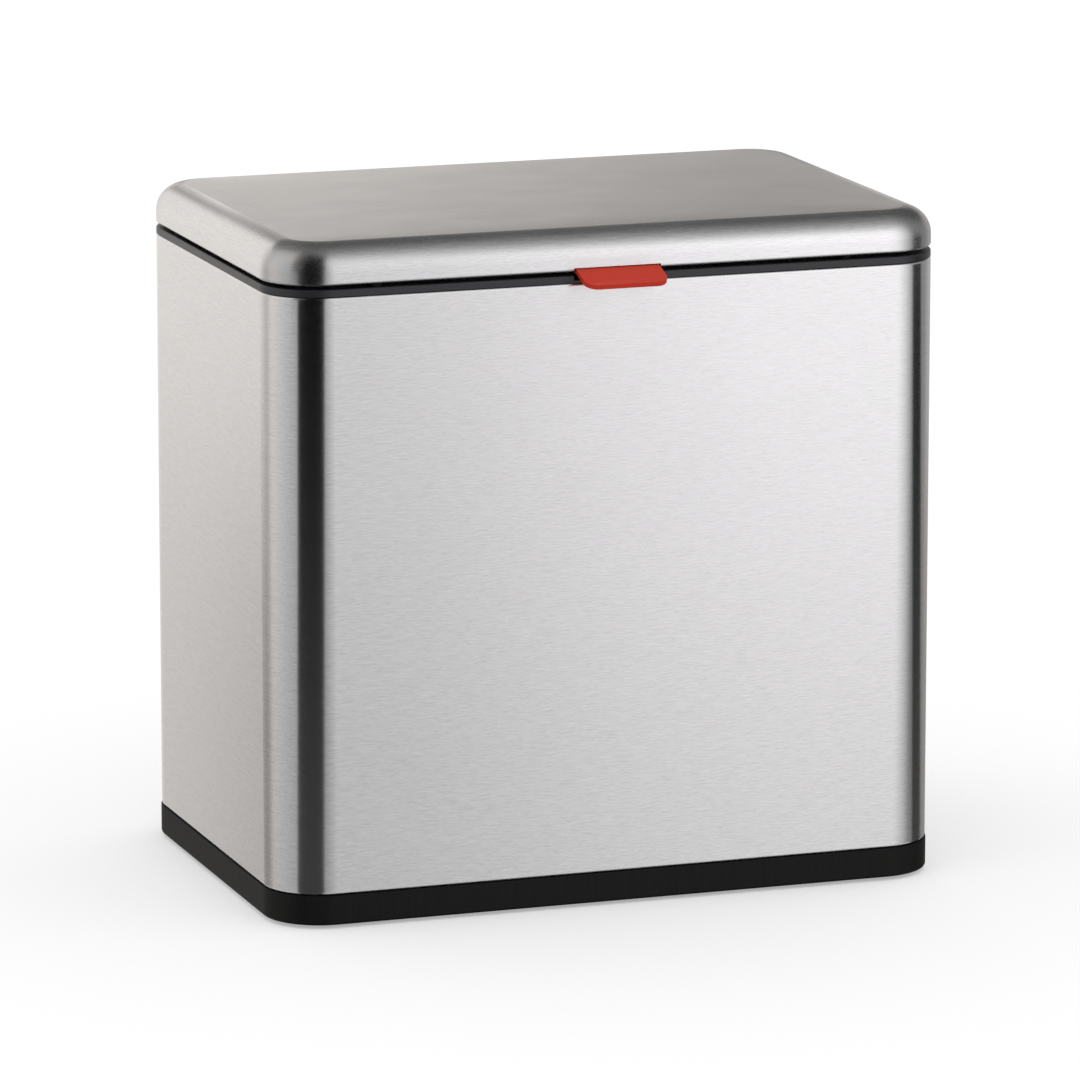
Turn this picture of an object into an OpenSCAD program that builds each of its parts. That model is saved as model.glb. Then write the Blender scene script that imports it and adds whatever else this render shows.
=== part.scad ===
// Countertop bin with a sprung lid that a red press tab lets go.
// Millimetres. The origin is on the standing surface under the middle of the steel wrap,
// X runs along the width, the front faces -Y and Z points up.

/* [Body] */
// Width of the steel wrap
body_w = 300; // [260:5:360]
// Depth of the steel wrap
body_d = 200; // [180:5:260]
// Radius of the upright corners
corner_r = 25; // [24.5:0.5:32]
// Height of the steel wrap that shows
shell_h = 256.5; // [220:0.5:320]
// Thickness of the steel sheet of wrap and lid
sheet_t = 0.8; // [0.6:0.1:1]
// Outside radius where the sheet is folded
bend_r = 1.4; // [1.2:0.1:2]
// Width of the flange that is turned in at the bottom of the wrap
bottom_flange_w = 14; // [13:0.5:16]
// Width of the flange that is turned in at the top of the wrap
top_flange_w = 6.5; // [6:0.1:6.8]

/* [Plinth and feet] */
// Height of the plinth that shows
plinth_h = 13; // [11:0.5:20]
// How far the plinth stands out past the steel
plinth_proud = 0.4; // [0:0.1:1]
// Wall thickness of the plinth moulding
plinth_t = 2.5; // [2:0.1:3]
// Width of the ledge that the wrap stands on
ledge_w = 16; // [15:0.5:18]
// How far the feet lift the plinth off the surface
foot_out = 1.5; // [1:0.25:3]
// Diameter of a rubber foot
foot_d = 16; // [12:1:20]
// Depth of the pocket that a foot is pressed into
foot_pocket = 1.5; // [1:0.25:2]
// Distance of a foot's centre from the wrap's outer faces
foot_inset = 32; // [28:1:45]

/* [Collar] */
// Height of the collar band that shows over the steel
collar_show = 3; // [2.5:0.25:5]
// Distance from the wrap's face to the mouth of the collar
mouth_in = 9.5; // [9.5:0.25:10.5]
// Wall thickness of the collar's skirt
collar_t = 2; // [1.6:0.1:2]
// Depth of the collar's skirt below its top
skirt_depth = 24; // [23:0.5:30]
// Width of the ledge that the bucket hangs on
bucket_ledge_w = 5.5; // [4.5:0.25:6]
// Width of a snap barb under the wrap's top flange
barb_w = 12; // [8:1:16]

/* [Lid] */
// Height of the dark gap between collar and lid
lid_gap = 1.5; // [1.25:0.25:2]
// Height of the lid
lid_h = 17.7; // [17:0.1:22]
// Radius of the lid's top edge
lid_fillet = 12.4; // [8:0.2:12.4]
// Width of the hem folded under the liner
hem_w = 3.2; // [2.5:0.1:3.5]
// Wall thickness of the liner moulding
liner_t = 2; // [1.8:0.1:2.2]
// Depth of the liner's lip below its panel
lip_depth = 7.5; // [5:0.5:9]
// Gap between the liner's lip and the collar's mouth
lip_gap = 2; // [2:0.25:3]
// Thickness of the liner's stiffening ribs
rib_t = 1.5; // [1:0.1:2]

/* [Hinge] */
// How far the lid opens, in degrees
open_angle = 85; // [70:1:85]
// Distance of the hinge pins behind the wrap
hinge_back = 5; // [4.8:0.1:6]
// Diameter of a hinge pin
hinge_pin_d = 4; // [3:0.25:4.5]
// Outside diameter of the hinge knuckles
knuckle_d = 8; // [7.5:0.25:8.5]
// Distance of each hinge's middle from the middle of the bin
hinge_x = 57.5; // [45:2.5:90]
// Width of a hinge housing
housing_w = 39; // [38:1:46]
// Width of one housing cheek
cheek_w = 8; // [6:0.5:9]
// Width of a hinge arm's knuckle
arm_knuckle_w = 11.4; // [9:0.2:12]

/* [Springs] */
// Wire diameter of a hinge spring
hinge_wire = 1.2; // [0.8:0.1:1.3]
// Turns of a hinge spring
hinge_turns = 5; // [3:1:5]
// Rise of a hinge spring in one turn
hinge_pitch = 1.75; // [1.7:0.05:1.8]
// Wire diameter of the latch spring
latch_wire = 0.6; // [0.4:0.1:0.7]
// Turns of the latch spring
latch_turns = 7; // [5:1:8]
// Outside diameter of the latch spring
latch_coil_d = 6; // [5:0.25:7]

/* [Latch] */
// Width of the red lip
tab_w = 37; // [32:1:44]
// How far the lip stands out in front of the lid
tab_out = 14.5; // [10:0.5:18]
// Thickness of the lip
tab_t = 2; // [1.8:0.1:2.2]
// Downward slope of the lip in degrees
tab_slope = 18.5; // [12:0.5:22]
// Radius of the lip's front corners
tab_corner_r = 5.5; // [3:0.5:7]
// Travel of the lip when it is pressed, in degrees
tab_travel = 9.5; // [9:0.5:10]
// Height of the notch in the lid that the lip comes out of
notch_h = 1.7; // [1.6:0.1:2]
// Distance of the tab's pivot behind the front face
pivot_in = 13; // [12.5:0.25:14]
// Diameter of the tab's pin
latch_pin_d = 3; // [2.5:0.25:3.5]
// Width of the tab between its cheeks
tab_hub_w = 26; // [24:1:30]
// Width of the hook
hook_w = 14; // [10:1:15]
// Height of the hook's nose
nose_h = 3; // [2.5:0.25:3.5]
// How far the nose reaches through the striker's inner face
nose_catch = 1.6; // [1.2:0.1:1.6]
// Thickness of the striker plate
striker_t = 1; // [0.8:0.1:1.2]

/* [Bucket] */
// Wall thickness of the bucket
bucket_t = 1.8; // [1.5:0.1:2.2]
// Slope of the bucket's walls in degrees
bucket_draft = 1; // [0.5:0.1:1]
// Thickness of the bucket's rim
rim_t = 2.2; // [1.8:0.1:3]
// Length of a carry slot
slot_l = 84; // [70:2:110]
// Height of a carry slot
slot_h = 20; // [16:1:26]
// Radius of a carry slot's corners
slot_r = 5; // [3:0.5:7]

/* [Fit] */
// Gap between pieces that slide past each other
slide_gap = 0.3; // [0.2:0.05:0.4]
// Gap round a pin that turns
pin_gap = 0.1; // [0.05:0.01:0.15]

/* [Hidden] */
$fn = 64;

steel = [0.80, 0.79, 0.77];
bright_steel = [0.72, 0.72, 0.73];
black_plastic = [0.13, 0.13, 0.14];
grey_plastic = [0.45, 0.46, 0.47];
pale_plastic = [0.62, 0.63, 0.64];
red_plastic = [0.76, 0.20, 0.15];
rubber = [0.08, 0.08, 0.08];

// Heights of the stack, from the surface up
shell_z0 = foot_out + plinth_h;
shell_z1 = shell_z0 + shell_h;
collar_z1 = shell_z1 + collar_show;
lid_z0 = collar_z1 + lid_gap;
lid_z1 = lid_z0 + lid_h;
fillet_z = lid_z1 - lid_fillet;

// Plinth
plinth_floor_z = foot_out + plinth_t;
screw_d = 2.9;
screw_head_d = 5.6;
screw_head_h = 2;
screw_grip = 5;
screw_in = bottom_flange_w - screw_grip;
foot_boss_wall = 2.5;
foot_top_z = foot_out + foot_pocket;

// Collar
skirt_in = mouth_in - collar_t;
skirt_z0 = collar_z1 - skirt_depth;
ledge_z1 = skirt_z0 + collar_t;
barb_h = 1.9;
barb_reach = 0.8;

// Bucket, hung by its rim
rim_edge_in = mouth_in + 0.7;
bucket_top_in = mouth_in + bucket_ledge_w + 0.8;
bucket_top_z = ledge_z1 + rim_t;
bucket_z0 = plinth_floor_z + plinth_t + 1;
bucket_bottom_in = bucket_top_in + tan(bucket_draft) * (ledge_z1 - bucket_z0);
bucket_foot_r = 3;
slot_drop = 12;
slot_cut = 10;

// Lid
liner_edge_in = sheet_t + 0.2;
hem_top = lid_z0 + sheet_t;
panel_z0 = hem_top + 1.2;
panel_z1 = panel_z0 + liner_t;
lip_out_in = mouth_in + lip_gap;
rib_top = lid_z1 - sheet_t - 0.2;
rib_edge_in = lid_fillet + 3;
buffer_d = 5;
buffer_stem_d = 3;
buffer_in = hem_w + 0.4 + buffer_d / 2;

// Hinge, its axis lies along X
hinge_y = body_d / 2 + hinge_back;
hinge_z = collar_z1 - 1;
knuckle_r = knuckle_d / 2;
housing_x0 = hinge_x - housing_w / 2;
housing_x1 = hinge_x + housing_w / 2;
housing_back = hinge_y + knuckle_r;
housing_floor_z1 = hinge_z - knuckle_r - 2.5;
housing_floor_t = 2;
arm_x1 = housing_x1 - cheek_w - slide_gap;
arm_x0 = arm_x1 - arm_knuckle_w;
arm_under = hinge_z + knuckle_r;
arm_top = arm_under + 2.3;
arm_step_y = body_d / 2 - lip_out_in + 0.5;
arm_foot_y = body_d / 2 - 36;
arm_screw_y = [body_d / 2 - 30, body_d / 2 - 18];
arm_plate_t = 2.2;
arm_boss_h = 6;
arm_boss_d = 6;
stop_r = 6.2;
stop_h = 2.6;
// The stop rib ends where the lug's face comes to lie when the lid is open
stop_rib_z1 = hinge_z - knuckle_r - 0.2;
stop_rib_y1 = hinge_y + (hinge_z - stop_rib_z1) * cos(open_angle)
              - stop_h / 2 * sin(open_angle) - 0.1;

// Hinge springs, wound on the pins between the inner cheek and the arm's knuckle
hinge_coil_r = hinge_pin_d / 2 + 0.6 + hinge_wire / 2;
pin_end = 2.2;
groove_w = 1;
clip_t = 0.8;
clip_d = hinge_pin_d + 3.4;
spring_x0 = housing_x0 + cheek_w + hinge_wire / 2 + 0.35;
lid_leg = 8;
body_leg = 4;
// The arm's plate also lies over the spring's lid leg
arm_plate_x0 = spring_x0 - hinge_wire / 2 - 0.3;
arm_mid_x = (arm_plate_x0 + arm_x1) / 2;

// Latch, all of it worked out from the pivot
front_y = -body_d / 2;
pivot_y = front_y + pivot_in;
tab_top_z = lid_z0 + notch_h - 0.4;
tab_bottom_z = tab_top_z - tab_t;
pivot_z = tab_top_z + 0.2;
hub_r = latch_pin_d / 2 + 1.9;
cheek_t = 2.5;
cheek_r = 4.5;
cheek_y0 = pivot_y - cheek_r;
neck_y = cheek_y0 - 0.8;
cheek_x = tab_hub_w / 2 + slide_gap;
striker_y = front_y + mouth_in + striker_t;
hook_y0 = striker_y + 1.5;
hook_t = 2.5;
nose_top = pivot_z - 11.5;
nose_tip_y = striker_y - nose_catch;
window_w = hook_w + 2;
window_top = nose_top + 0.3;
window_h = nose_h + 3;
striker_w = window_w + 18;
striker_screw_x = window_w / 2 + 5;
striker_mid_z = window_top - window_h / 2;
recess_z = tab_bottom_z - pivot_in * sin(tab_travel) - 0.75;
recess_w = tab_w + 2;
notch_w = tab_w + 1.7;
arm_w = 10;
spring_y = pivot_y + 12;
rear_arm_top = pivot_z + 1.2;
rear_arm_t = 2;
bridge_z = rear_arm_top + 9.8;
bridge_t = 2;
bridge_r = 5;
bridge_w = latch_coil_d + 2 * bridge_r;
spring_stud_h = 1.5;
spring_stud_d = latch_coil_d - 2 * latch_wire - 0.8;
pocket_y1 = spring_y + bridge_r + 1;
cover_y0 = pivot_y + hub_r + 1.8;
cover_y1 = pocket_y1 + 3;
cover_w = 2 * (cheek_x + cheek_t) + 4;
cover_ear = 8;
cover_t = 1.5;
cover_depth = 4;
cover_screw_x = cover_w / 2 + cover_ear / 2;
cover_screw_y = (cover_y0 + cover_y1) / 2;
small_screw_d = 2.2;
small_head_d = 4;
small_head_h = 1.1;
small_boss_d = 5;
small_boss_h = 6;
small_grip = 4.5;

// Quarter of a ring in the first quadrant, with outside radius r and wall t
module quarter_ring(r, t) {
    intersection() {
        difference() {
            circle(r);
            if (r > t) circle(r - t);
        }
        square(r);
    }
}

// Rectangle with corner a at its lower left and b at its upper right
module between(a, b) {
    translate(a) square([b[0] - a[0], b[1] - a[1]]);
}

// Block with corner a at its lower left front and b at its upper right back
module block(a, b) {
    translate(a) cube(b - a);
}

// The children as they are and mirrored to the other side of the bin
module left_and_right() {
    children();
    mirror([1, 0, 0]) children();
}

// The children as they are and mirrored from back to front
module back_and_front() {
    children();
    mirror([0, 1, 0]) children();
}

// Carries a section round the wrap's outline: x is the way out from it, y is the height
module round_outline() {
    for (q = [0:3]) {
        sx = (q == 0 || q == 3) ? 1 : -1;
        sy = (q < 2) ? 1 : -1;
        translate([sx * (body_w / 2 - corner_r), sy * (body_d / 2 - corner_r), 0])
            rotate([0, 0, 90 * q])
                rotate_extrude(angle = 90)
                    translate([corner_r, 0])
                        children();
    }
    for (q = [0:3]) {
        across = (q % 2 == 0) ? body_w : body_d;
        along = (q % 2 == 0) ? body_d : body_w;
        rotate([0, 0, 90 * q])
            rotate([90, 0, 0])
                linear_extrude(along - 2 * corner_r, center = true)
                    translate([across / 2, 0])
                        children();
    }
}

// Plate of thickness t whose edge lies the given distance inside the wrap's outline
module inner_plate(inset, z, t) {
    r = corner_r - inset;
    w = body_w - 2 * inset;
    d = body_d - 2 * inset;
    translate([0, 0, z]) {
        translate([-w / 2 + r, -d / 2, 0]) cube([w - 2 * r, d, t]);
        translate([-w / 2, -d / 2 + r, 0]) cube([w, d - 2 * r, t]);
        for (q = [0:3]) {
            sx = (q == 0 || q == 3) ? 1 : -1;
            sy = (q < 2) ? 1 : -1;
            translate([sx * (w / 2 - r), sy * (d / 2 - r), 0])
                rotate([0, 0, 90 * q])
                    rotate_extrude(angle = 90)
                        square([r, t]);
        }
    }
}

// Pan-head screw with its tip up, the underside of its head at z = 0
module screw(d, length, head_d, head_h) {
    difference() {
        union() {
            translate([0, 0, -head_h]) cylinder(h = head_h, d = head_d);
            cylinder(h = length, d = d);
        }
        for (a = [0, 90])
            rotate([0, 0, a])
                translate([-head_d * 0.32, -head_d * 0.06, -head_h - 1])
                    cube([head_d * 0.64, head_d * 0.12, 1 + head_h * 0.55]);
    }
}

// Cylinder that lies along X from x0 to x1 through the point y, z
module x_rod(x0, x1, y, z, d) {
    translate([x0, y, z])
        rotate([0, 90, 0])
            cylinder(h = x1 - x0, d = d);
}

// Points of one ring of wire round p, with the ways n and b square to the wire
function wire_ring(p, n, b, r) = [for (k = [0:5]) p + r * (cos(60 * k) * n + sin(60 * k) * b)];

// Least gap between turns of a wire: points over half a turn apart, less the wire
function least_gap(path, apart, wire) =
    min([for (i = [0:len(path) - 1 - apart], j = [i + apart:len(path) - 1])
        norm(path[i] - path[j])]) - wire;

// Closed tube through a list of rings of six points
module wire_tube(rings) {
    n = len(rings);
    points = [for (ring = rings, p = ring) p];
    sides = [for (i = [0:n - 2], k = [0:5], half = [0, 1])
        let (a = 6 * i + k, b = 6 * i + (k + 1) % 6)
        half == 0 ? [a, b, b + 6] : [a, b + 6, a + 6]];
    first = [for (k = [1:4]) [0, k + 1, k]];
    last = [for (k = [1:4]) [6 * (n - 1), 6 * (n - 1) + k, 6 * (n - 1) + k + 1]];
    polyhedron(points = points, faces = concat(sides, first, last), convexity = 6);
}

// Places of the plinth's screws
function screw_places() = concat(
    [for (x = [-0.3, 0, 0.3], s = [-1, 1]) [x * body_w, s * (body_d / 2 - screw_in)]],
    [for (s = [-1, 1]) [s * (body_w / 2 - screw_in), 0]]);

// Places of the feet
function foot_places() = [for (sx = [-1, 1], sy = [-1, 1])
    [sx * (body_w / 2 - foot_inset), sy * (body_d / 2 - foot_inset)]];

module plinth_section() {
    edge_r = 1.5;
    difference() {
        between([-plinth_t, foot_out], [plinth_proud, shell_z0]);
        translate([plinth_proud - edge_r, foot_out + edge_r])
            rotate([0, 0, -90])
                difference() {
                    square(edge_r + 1);
                    circle(edge_r);
                }
    }
    between([-ledge_w, shell_z0 - plinth_t], [-plinth_t / 2, shell_z0]);
    between([-ledge_w, plinth_floor_z], [-ledge_w + plinth_t, shell_z0]);
}

module plinth() {
    color(black_plastic)
        difference() {
            union() {
                round_outline() plinth_section();
                inner_plate(ledge_w - plinth_t / 2, plinth_floor_z, plinth_t);
                for (p = foot_places())
                    translate([p[0], p[1], foot_out])
                        cylinder(h = plinth_floor_z - foot_out + 1, d = foot_d + 2 * foot_boss_wall);
                for (s = [-1, 1]) {
                    translate([-body_w / 2 + foot_inset, s * foot_inset - rib_t / 2, foot_out + 0.5])
                        cube([body_w - 2 * foot_inset, rib_t, plinth_floor_z - foot_out]);
                    translate([s * foot_inset * 2 - rib_t / 2, -body_d / 2 + ledge_w, foot_out + 0.5])
                        cube([rib_t, body_d - 2 * ledge_w, plinth_floor_z - foot_out]);
                }
            }
            for (p = foot_places())
                translate([p[0], p[1], foot_out - 1])
                    cylinder(h = foot_pocket + 1, d = foot_d + 0.1);
            for (p = screw_places())
                translate([p[0], p[1], shell_z0 - plinth_t - 1])
                    cylinder(h = plinth_t + 2, d = screw_d + 0.5);
        }
}

module feet() {
    color(rubber)
        for (p = foot_places())
            translate([p[0], p[1], 0]) {
                cylinder(h = 0.6, d1 = foot_d - 1.2, d2 = foot_d);
                translate([0, 0, 0.6]) cylinder(h = foot_top_z - 0.6, d = foot_d);
            }
}

module plinth_screws() {
    color(bright_steel)
        for (p = screw_places())
            translate([p[0], p[1], shell_z0 - plinth_t])
                screw(screw_d, plinth_t + screw_grip, screw_head_d, screw_head_h);
}

// Section of the wrap: the wall with a flange folded in at each end
module shell_section() {
    between([-sheet_t, shell_z0 + bend_r], [0, shell_z1 - bend_r]);
    translate([-bend_r, shell_z0 + bend_r]) rotate([0, 0, -90]) quarter_ring(bend_r, sheet_t);
    translate([-bend_r, shell_z1 - bend_r]) quarter_ring(bend_r, sheet_t);
    between([-bottom_flange_w, shell_z0], [-bend_r, shell_z0 + sheet_t]);
    between([-top_flange_w, shell_z1 - sheet_t], [-bend_r, shell_z1]);
}

module body_shell() {
    color(steel)
        difference() {
            round_outline() shell_section();
            for (p = screw_places())
                translate([p[0], p[1], shell_z0 - 1])
                    cylinder(h = sheet_t + 2, d = screw_d + 0.1);
        }
}

module collar_section() {
    edge_r = 0.8;
    difference() {
        between([-mouth_in, shell_z1], [0, collar_z1]);
        translate([-edge_r, collar_z1 - edge_r])
            difference() {
                square(edge_r + 1);
                circle(edge_r);
            }
    }
    between([-mouth_in, skirt_z0], [-skirt_in, shell_z1 + collar_show / 2]);
    between([-mouth_in - bucket_ledge_w, skirt_z0], [-skirt_in, ledge_z1]);
}

// Snap barbs on the skirt that hold the collar under the wrap's top flange
module snap_barbs() {
    y0 = body_d / 2 - skirt_in - 0.5;
    y1 = body_d / 2 - top_flange_w + barb_reach;
    x0 = body_w / 2 - skirt_in - 0.5;
    x1 = body_w / 2 - top_flange_w + barb_reach;
    z1 = shell_z1 - sheet_t - 0.1;
    for (x = [-0.38, -0.1, 0.1, 0.38])
        back_and_front()
            block([x * body_w - barb_w / 2, y0, z1 - barb_h], [x * body_w + barb_w / 2, y1, z1]);
    for (y = [-0.22, 0.22])
        left_and_right()
            block([x0, y * body_d - barb_w / 2, z1 - barb_h], [x1, y * body_d + barb_w / 2, z1]);
}

// Housing of the right hinge: two cheeks with knuckles, a floor, a stop and a spring rest
module hinge_housing() {
    wall_y = body_d / 2 + 0.3;
    inner_x0 = housing_x0 + cheek_w;
    inner_x1 = housing_x1 - cheek_w;
    floor_z0 = housing_floor_z1 - housing_floor_t;
    for (x = [housing_x0, inner_x1]) {
        block([x, wall_y, floor_z0], [x + cheek_w, hinge_y, hinge_z]);
        block([x, body_d / 2 - 2, shell_z1 + 0.2], [x + cheek_w, hinge_y, collar_z1]);
        x_rod(x, x + cheek_w, hinge_y, hinge_z, knuckle_d);
        block([x, hinge_y - 0.5, floor_z0], [x + cheek_w, housing_back, hinge_z]);
    }
    block([housing_x0, wall_y, floor_z0], [housing_x1, housing_back, housing_floor_z1]);
    block([arm_x0, wall_y, floor_z0], [inner_x1 + 1, stop_rib_y1, stop_rib_z1]);
    spring_rest = hinge_z - hinge_coil_r - hinge_wire / 2 - 0.1;
    block([spring_x0 + hinge_pitch * (hinge_turns + 0.5) - 1.5, wall_y, floor_z0],
          [arm_x0 - slide_gap, hinge_y - 2.5, spring_rest]);
}

module collar() {
    color(black_plastic)
        difference() {
            union() {
                round_outline() collar_section();
                snap_barbs();
                left_and_right() hinge_housing();
                for (s = [-1, 1])
                    translate([s * striker_screw_x, front_y + skirt_in - 4, striker_mid_z])
                        rotate([-90, 0, 0])
                            cylinder(h = small_boss_d, d = small_boss_d + 0.5);
            }
            left_and_right()
                x_rod(housing_x0 - 1, housing_x1 + 1, hinge_y, hinge_z, hinge_pin_d + 0.1);
            block([-recess_w / 2, front_y - 1, recess_z],
                  [recess_w / 2, front_y + mouth_in + 1, collar_z1 + 1]);
            block([-window_w / 2 - 0.5, front_y + skirt_in - 1, window_top - window_h - 0.5],
                  [window_w / 2 + 0.5, front_y + mouth_in + 1, window_top + 0.5]);
            for (s = [-1, 1])
                translate([s * striker_screw_x, front_y + skirt_in - 3, striker_mid_z])
                    rotate([-90, 0, 0])
                        cylinder(h = small_boss_h, d = small_screw_d + 0.1);
        }
}

module striker() {
    y0 = front_y + mouth_in;
    color(bright_steel)
        difference() {
            block([-striker_w / 2, y0, striker_mid_z - window_h / 2 - 3],
                  [striker_w / 2, y0 + striker_t, window_top + 3.5]);
            block([-window_w / 2, y0 - 1, window_top - window_h],
                  [window_w / 2, y0 + striker_t + 1, window_top]);
            for (s = [-1, 1])
                translate([s * striker_screw_x, y0 - 1, striker_mid_z])
                    rotate([-90, 0, 0])
                        cylinder(h = striker_t + 2, d = small_screw_d + 0.2);
        }
}

module striker_screws() {
    color(bright_steel)
        for (s = [-1, 1])
            translate([s * striker_screw_x, striker_y, striker_mid_z])
                rotate([90, 0, 0])
                    screw(small_screw_d, striker_t + small_grip - 0.5, small_head_d, small_head_h);
}

module hinge_pins() {
    color(bright_steel)
        left_and_right()
            difference() {
                x_rod(housing_x0 - pin_end, housing_x1 + pin_end, hinge_y, hinge_z, hinge_pin_d);
                for (x = [housing_x0 - groove_w - 0.2, housing_x1 + 0.2])
                    difference() {
                        x_rod(x, x + groove_w, hinge_y, hinge_z, hinge_pin_d + 1);
                        x_rod(x - 1, x + groove_w + 1, hinge_y, hinge_z, hinge_pin_d - 0.8);
                    }
            }
}

module pin_clips() {
    color(bright_steel)
        for (x = [housing_x0 - clip_t - 0.3, housing_x1 + 0.3])
            left_and_right()
                difference() {
                    x_rod(x, x + clip_t, hinge_y, hinge_z, clip_d);
                    x_rod(x - 1, x + 2, hinge_y, hinge_z, hinge_pin_d - 0.7);
                    block([x - 1, hinge_y - 1.2, hinge_z - knuckle_d],
                          [x + 2, hinge_y + 1.2, hinge_z]);
                }
}

// Right hinge spring: a lid leg along the top, its turns, and a body leg along the bottom
hinge_steps = 8 * hinge_turns + 4;
function hinge_point(i) =
    let (b = 45 * i)
    [spring_x0 + hinge_pitch * i / 8, hinge_coil_r * sin(b), hinge_coil_r * cos(b)];
hinge_path = concat([hinge_point(0) - [0, lid_leg, 0]],
                    [for (i = [0:hinge_steps]) hinge_point(i)],
                    [hinge_point(hinge_steps) - [0, body_leg, 0]]);
hinge_rings = [for (i = [0:len(hinge_path) - 1])
    let (on_coil = min(max(i - 1, 0), hinge_steps),
         n = [0, sin(45 * on_coil), cos(45 * on_coil)],
         t = [0, cos(45 * on_coil), -sin(45 * on_coil)])
    wire_ring(hinge_path[i], n, cross(t, n), hinge_wire / 2)];

module hinge_springs() {
    echo(hinge_spring_least_gap = least_gap(hinge_path, 6, hinge_wire));
    color(bright_steel)
        left_and_right()
            translate([0, hinge_y, hinge_z])
                wire_tube(hinge_rings);
}

// Section of the lid's skin: the hem, the upright edge and the round top edge
module lid_section() {
    between([-hem_w, lid_z0], [-bend_r, lid_z0 + sheet_t]);
    translate([-bend_r, lid_z0 + bend_r]) rotate([0, 0, -90]) quarter_ring(bend_r, sheet_t);
    between([-sheet_t, lid_z0 + bend_r], [0, fillet_z]);
    translate([-lid_fillet, fillet_z]) quarter_ring(lid_fillet, sheet_t);
    between([-lid_fillet - 2, lid_z1 - sheet_t], [-lid_fillet, lid_z1]);
}

module lid_shell() {
    color(steel)
        difference() {
            union() {
                round_outline() lid_section();
                inner_plate(lid_fillet + 1, lid_z1 - sheet_t, sheet_t);
            }
            block([-notch_w / 2, front_y - 1, lid_z0 - 1],
                  [notch_w / 2, front_y + hem_w + 1, lid_z0 + notch_h]);
            left_and_right()
                block([arm_plate_x0 - 0.5, body_d / 2 - hem_w - 1, lid_z0 - 1],
                      [arm_x1 + 0.5, body_d / 2 + 1, arm_top + 0.3]);
        }
}

// Stiffening ribs on top of the liner's panel
module liner_ribs() {
    h = rib_top - panel_z1 + 0.5;
    x_end = body_w / 2 - rib_edge_in;
    y_end = body_d / 2 - rib_edge_in;
    for (y = [-1, 0, 1])
        translate([-x_end, y * body_d * 0.28 - rib_t / 2, panel_z1 - 0.5])
            cube([2 * x_end, rib_t, h]);
    for (x = [-0.4, -0.2, 0.2, 0.4])
        translate([x * body_w - rib_t / 2, -y_end, panel_z1 - 0.5])
            cube([rib_t, 2 * y_end, h]);
    translate([-rib_t / 2, -body_d * 0.28, panel_z1 - 0.5])
        cube([rib_t, y_end + body_d * 0.28, h]);
}

// Cheeks that carry the tab's pin, and the bridge that its spring pushes against
module latch_frame() {
    left_and_right() {
        block([cheek_x, cheek_y0, pivot_z - 4], [cheek_x + cheek_t, pivot_y + cheek_r, panel_z1]);
        x_rod(cheek_x, cheek_x + cheek_t, pivot_y, pivot_z, 2 * cheek_r);
        block([bridge_w / 2 - bridge_t, spring_y - bridge_r, panel_z0],
              [bridge_w / 2, spring_y + bridge_r, bridge_z]);
        block([tab_hub_w / 2 + 2, front_y + 4, tab_top_z + 0.1],
              [tab_hub_w / 2 + 4, front_y + 6, panel_z0 + 0.5]);
        translate([cover_screw_x, cover_screw_y, panel_z0])
            cylinder(h = small_boss_h, d = small_boss_d);
    }
    block([-bridge_w / 2, spring_y - bridge_r, bridge_z],
          [bridge_w / 2, spring_y + bridge_r, bridge_z + bridge_t]);
    translate([0, spring_y, bridge_z - spring_stud_h])
        cylinder(h = spring_stud_h + 0.5, d = spring_stud_d);
}

module lid_liner() {
    color(grey_plastic)
        difference() {
            union() {
                difference() {
                    union() {
                        inner_plate(liner_edge_in, panel_z0, liner_t);
                        round_outline() {
                            between([-hem_w, hem_top], [-liner_edge_in - 0.6, panel_z0 + 0.5]);
                            between([-lip_out_in - liner_t, panel_z0 - lip_depth],
                                    [-lip_out_in, panel_z0 + 0.5]);
                        }
                        liner_ribs();
                    }
                    // The pocket for the tab, and its way out to the front
                    block([-cheek_x - cheek_t - 1, cheek_y0 - 0.1, panel_z0 - lip_depth - 1],
                          [cheek_x + cheek_t + 1, pivot_y + hub_r + 0.9, rib_top + 1]);
                    block([-bridge_w / 2 + 2, pivot_y, panel_z0 - 1],
                          [bridge_w / 2 - 2, pocket_y1, rib_top + 1]);
                    block([-notch_w / 2 - 0.5, front_y, hem_top - 1],
                          [notch_w / 2 + 0.5, front_y + hem_w + 1, panel_z0]);
                    // Room for the two hinge arms at the back, and for their feet among the ribs
                    left_and_right() {
                        block([arm_plate_x0 - 0.5, arm_step_y - 0.3, hem_top - 1],
                              [arm_x1 + 0.5, body_d / 2 + 1, rib_top + 1]);
                        block([arm_plate_x0 - 0.5, arm_foot_y - 0.5, panel_z1],
                              [arm_x1 + 0.5, body_d / 2, rib_top + 1]);
                    }
                }
                latch_frame();
                // Webs that tie the cheeks to the panel on each side of the pocket
                left_and_right()
                    block([cheek_x + 0.5, cheek_y0 - 0.1, panel_z0],
                          [cheek_x + cheek_t + 1.5, pivot_y + hub_r + 0.9, panel_z1]);
            }
            x_rod(-cheek_x - cheek_t - 1, cheek_x + cheek_t + 1, pivot_y, pivot_z, latch_pin_d + 0.06);
            for (p = buffer_places())
                translate([p[0], p[1], panel_z0 - 1])
                    cylinder(h = liner_t + 2, d = buffer_stem_d + 0.1);
            for (s = [-1, 1]) {
                translate([s * cover_screw_x, cover_screw_y, panel_z0 - 1])
                    cylinder(h = small_boss_h, d = small_screw_d + 0.1);
                for (y = arm_screw_y)
                    translate([s * arm_mid_x, y, panel_z0 - 1])
                        cylinder(h = liner_t + 2, d = screw_d + 0.5);
            }
        }
}

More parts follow.
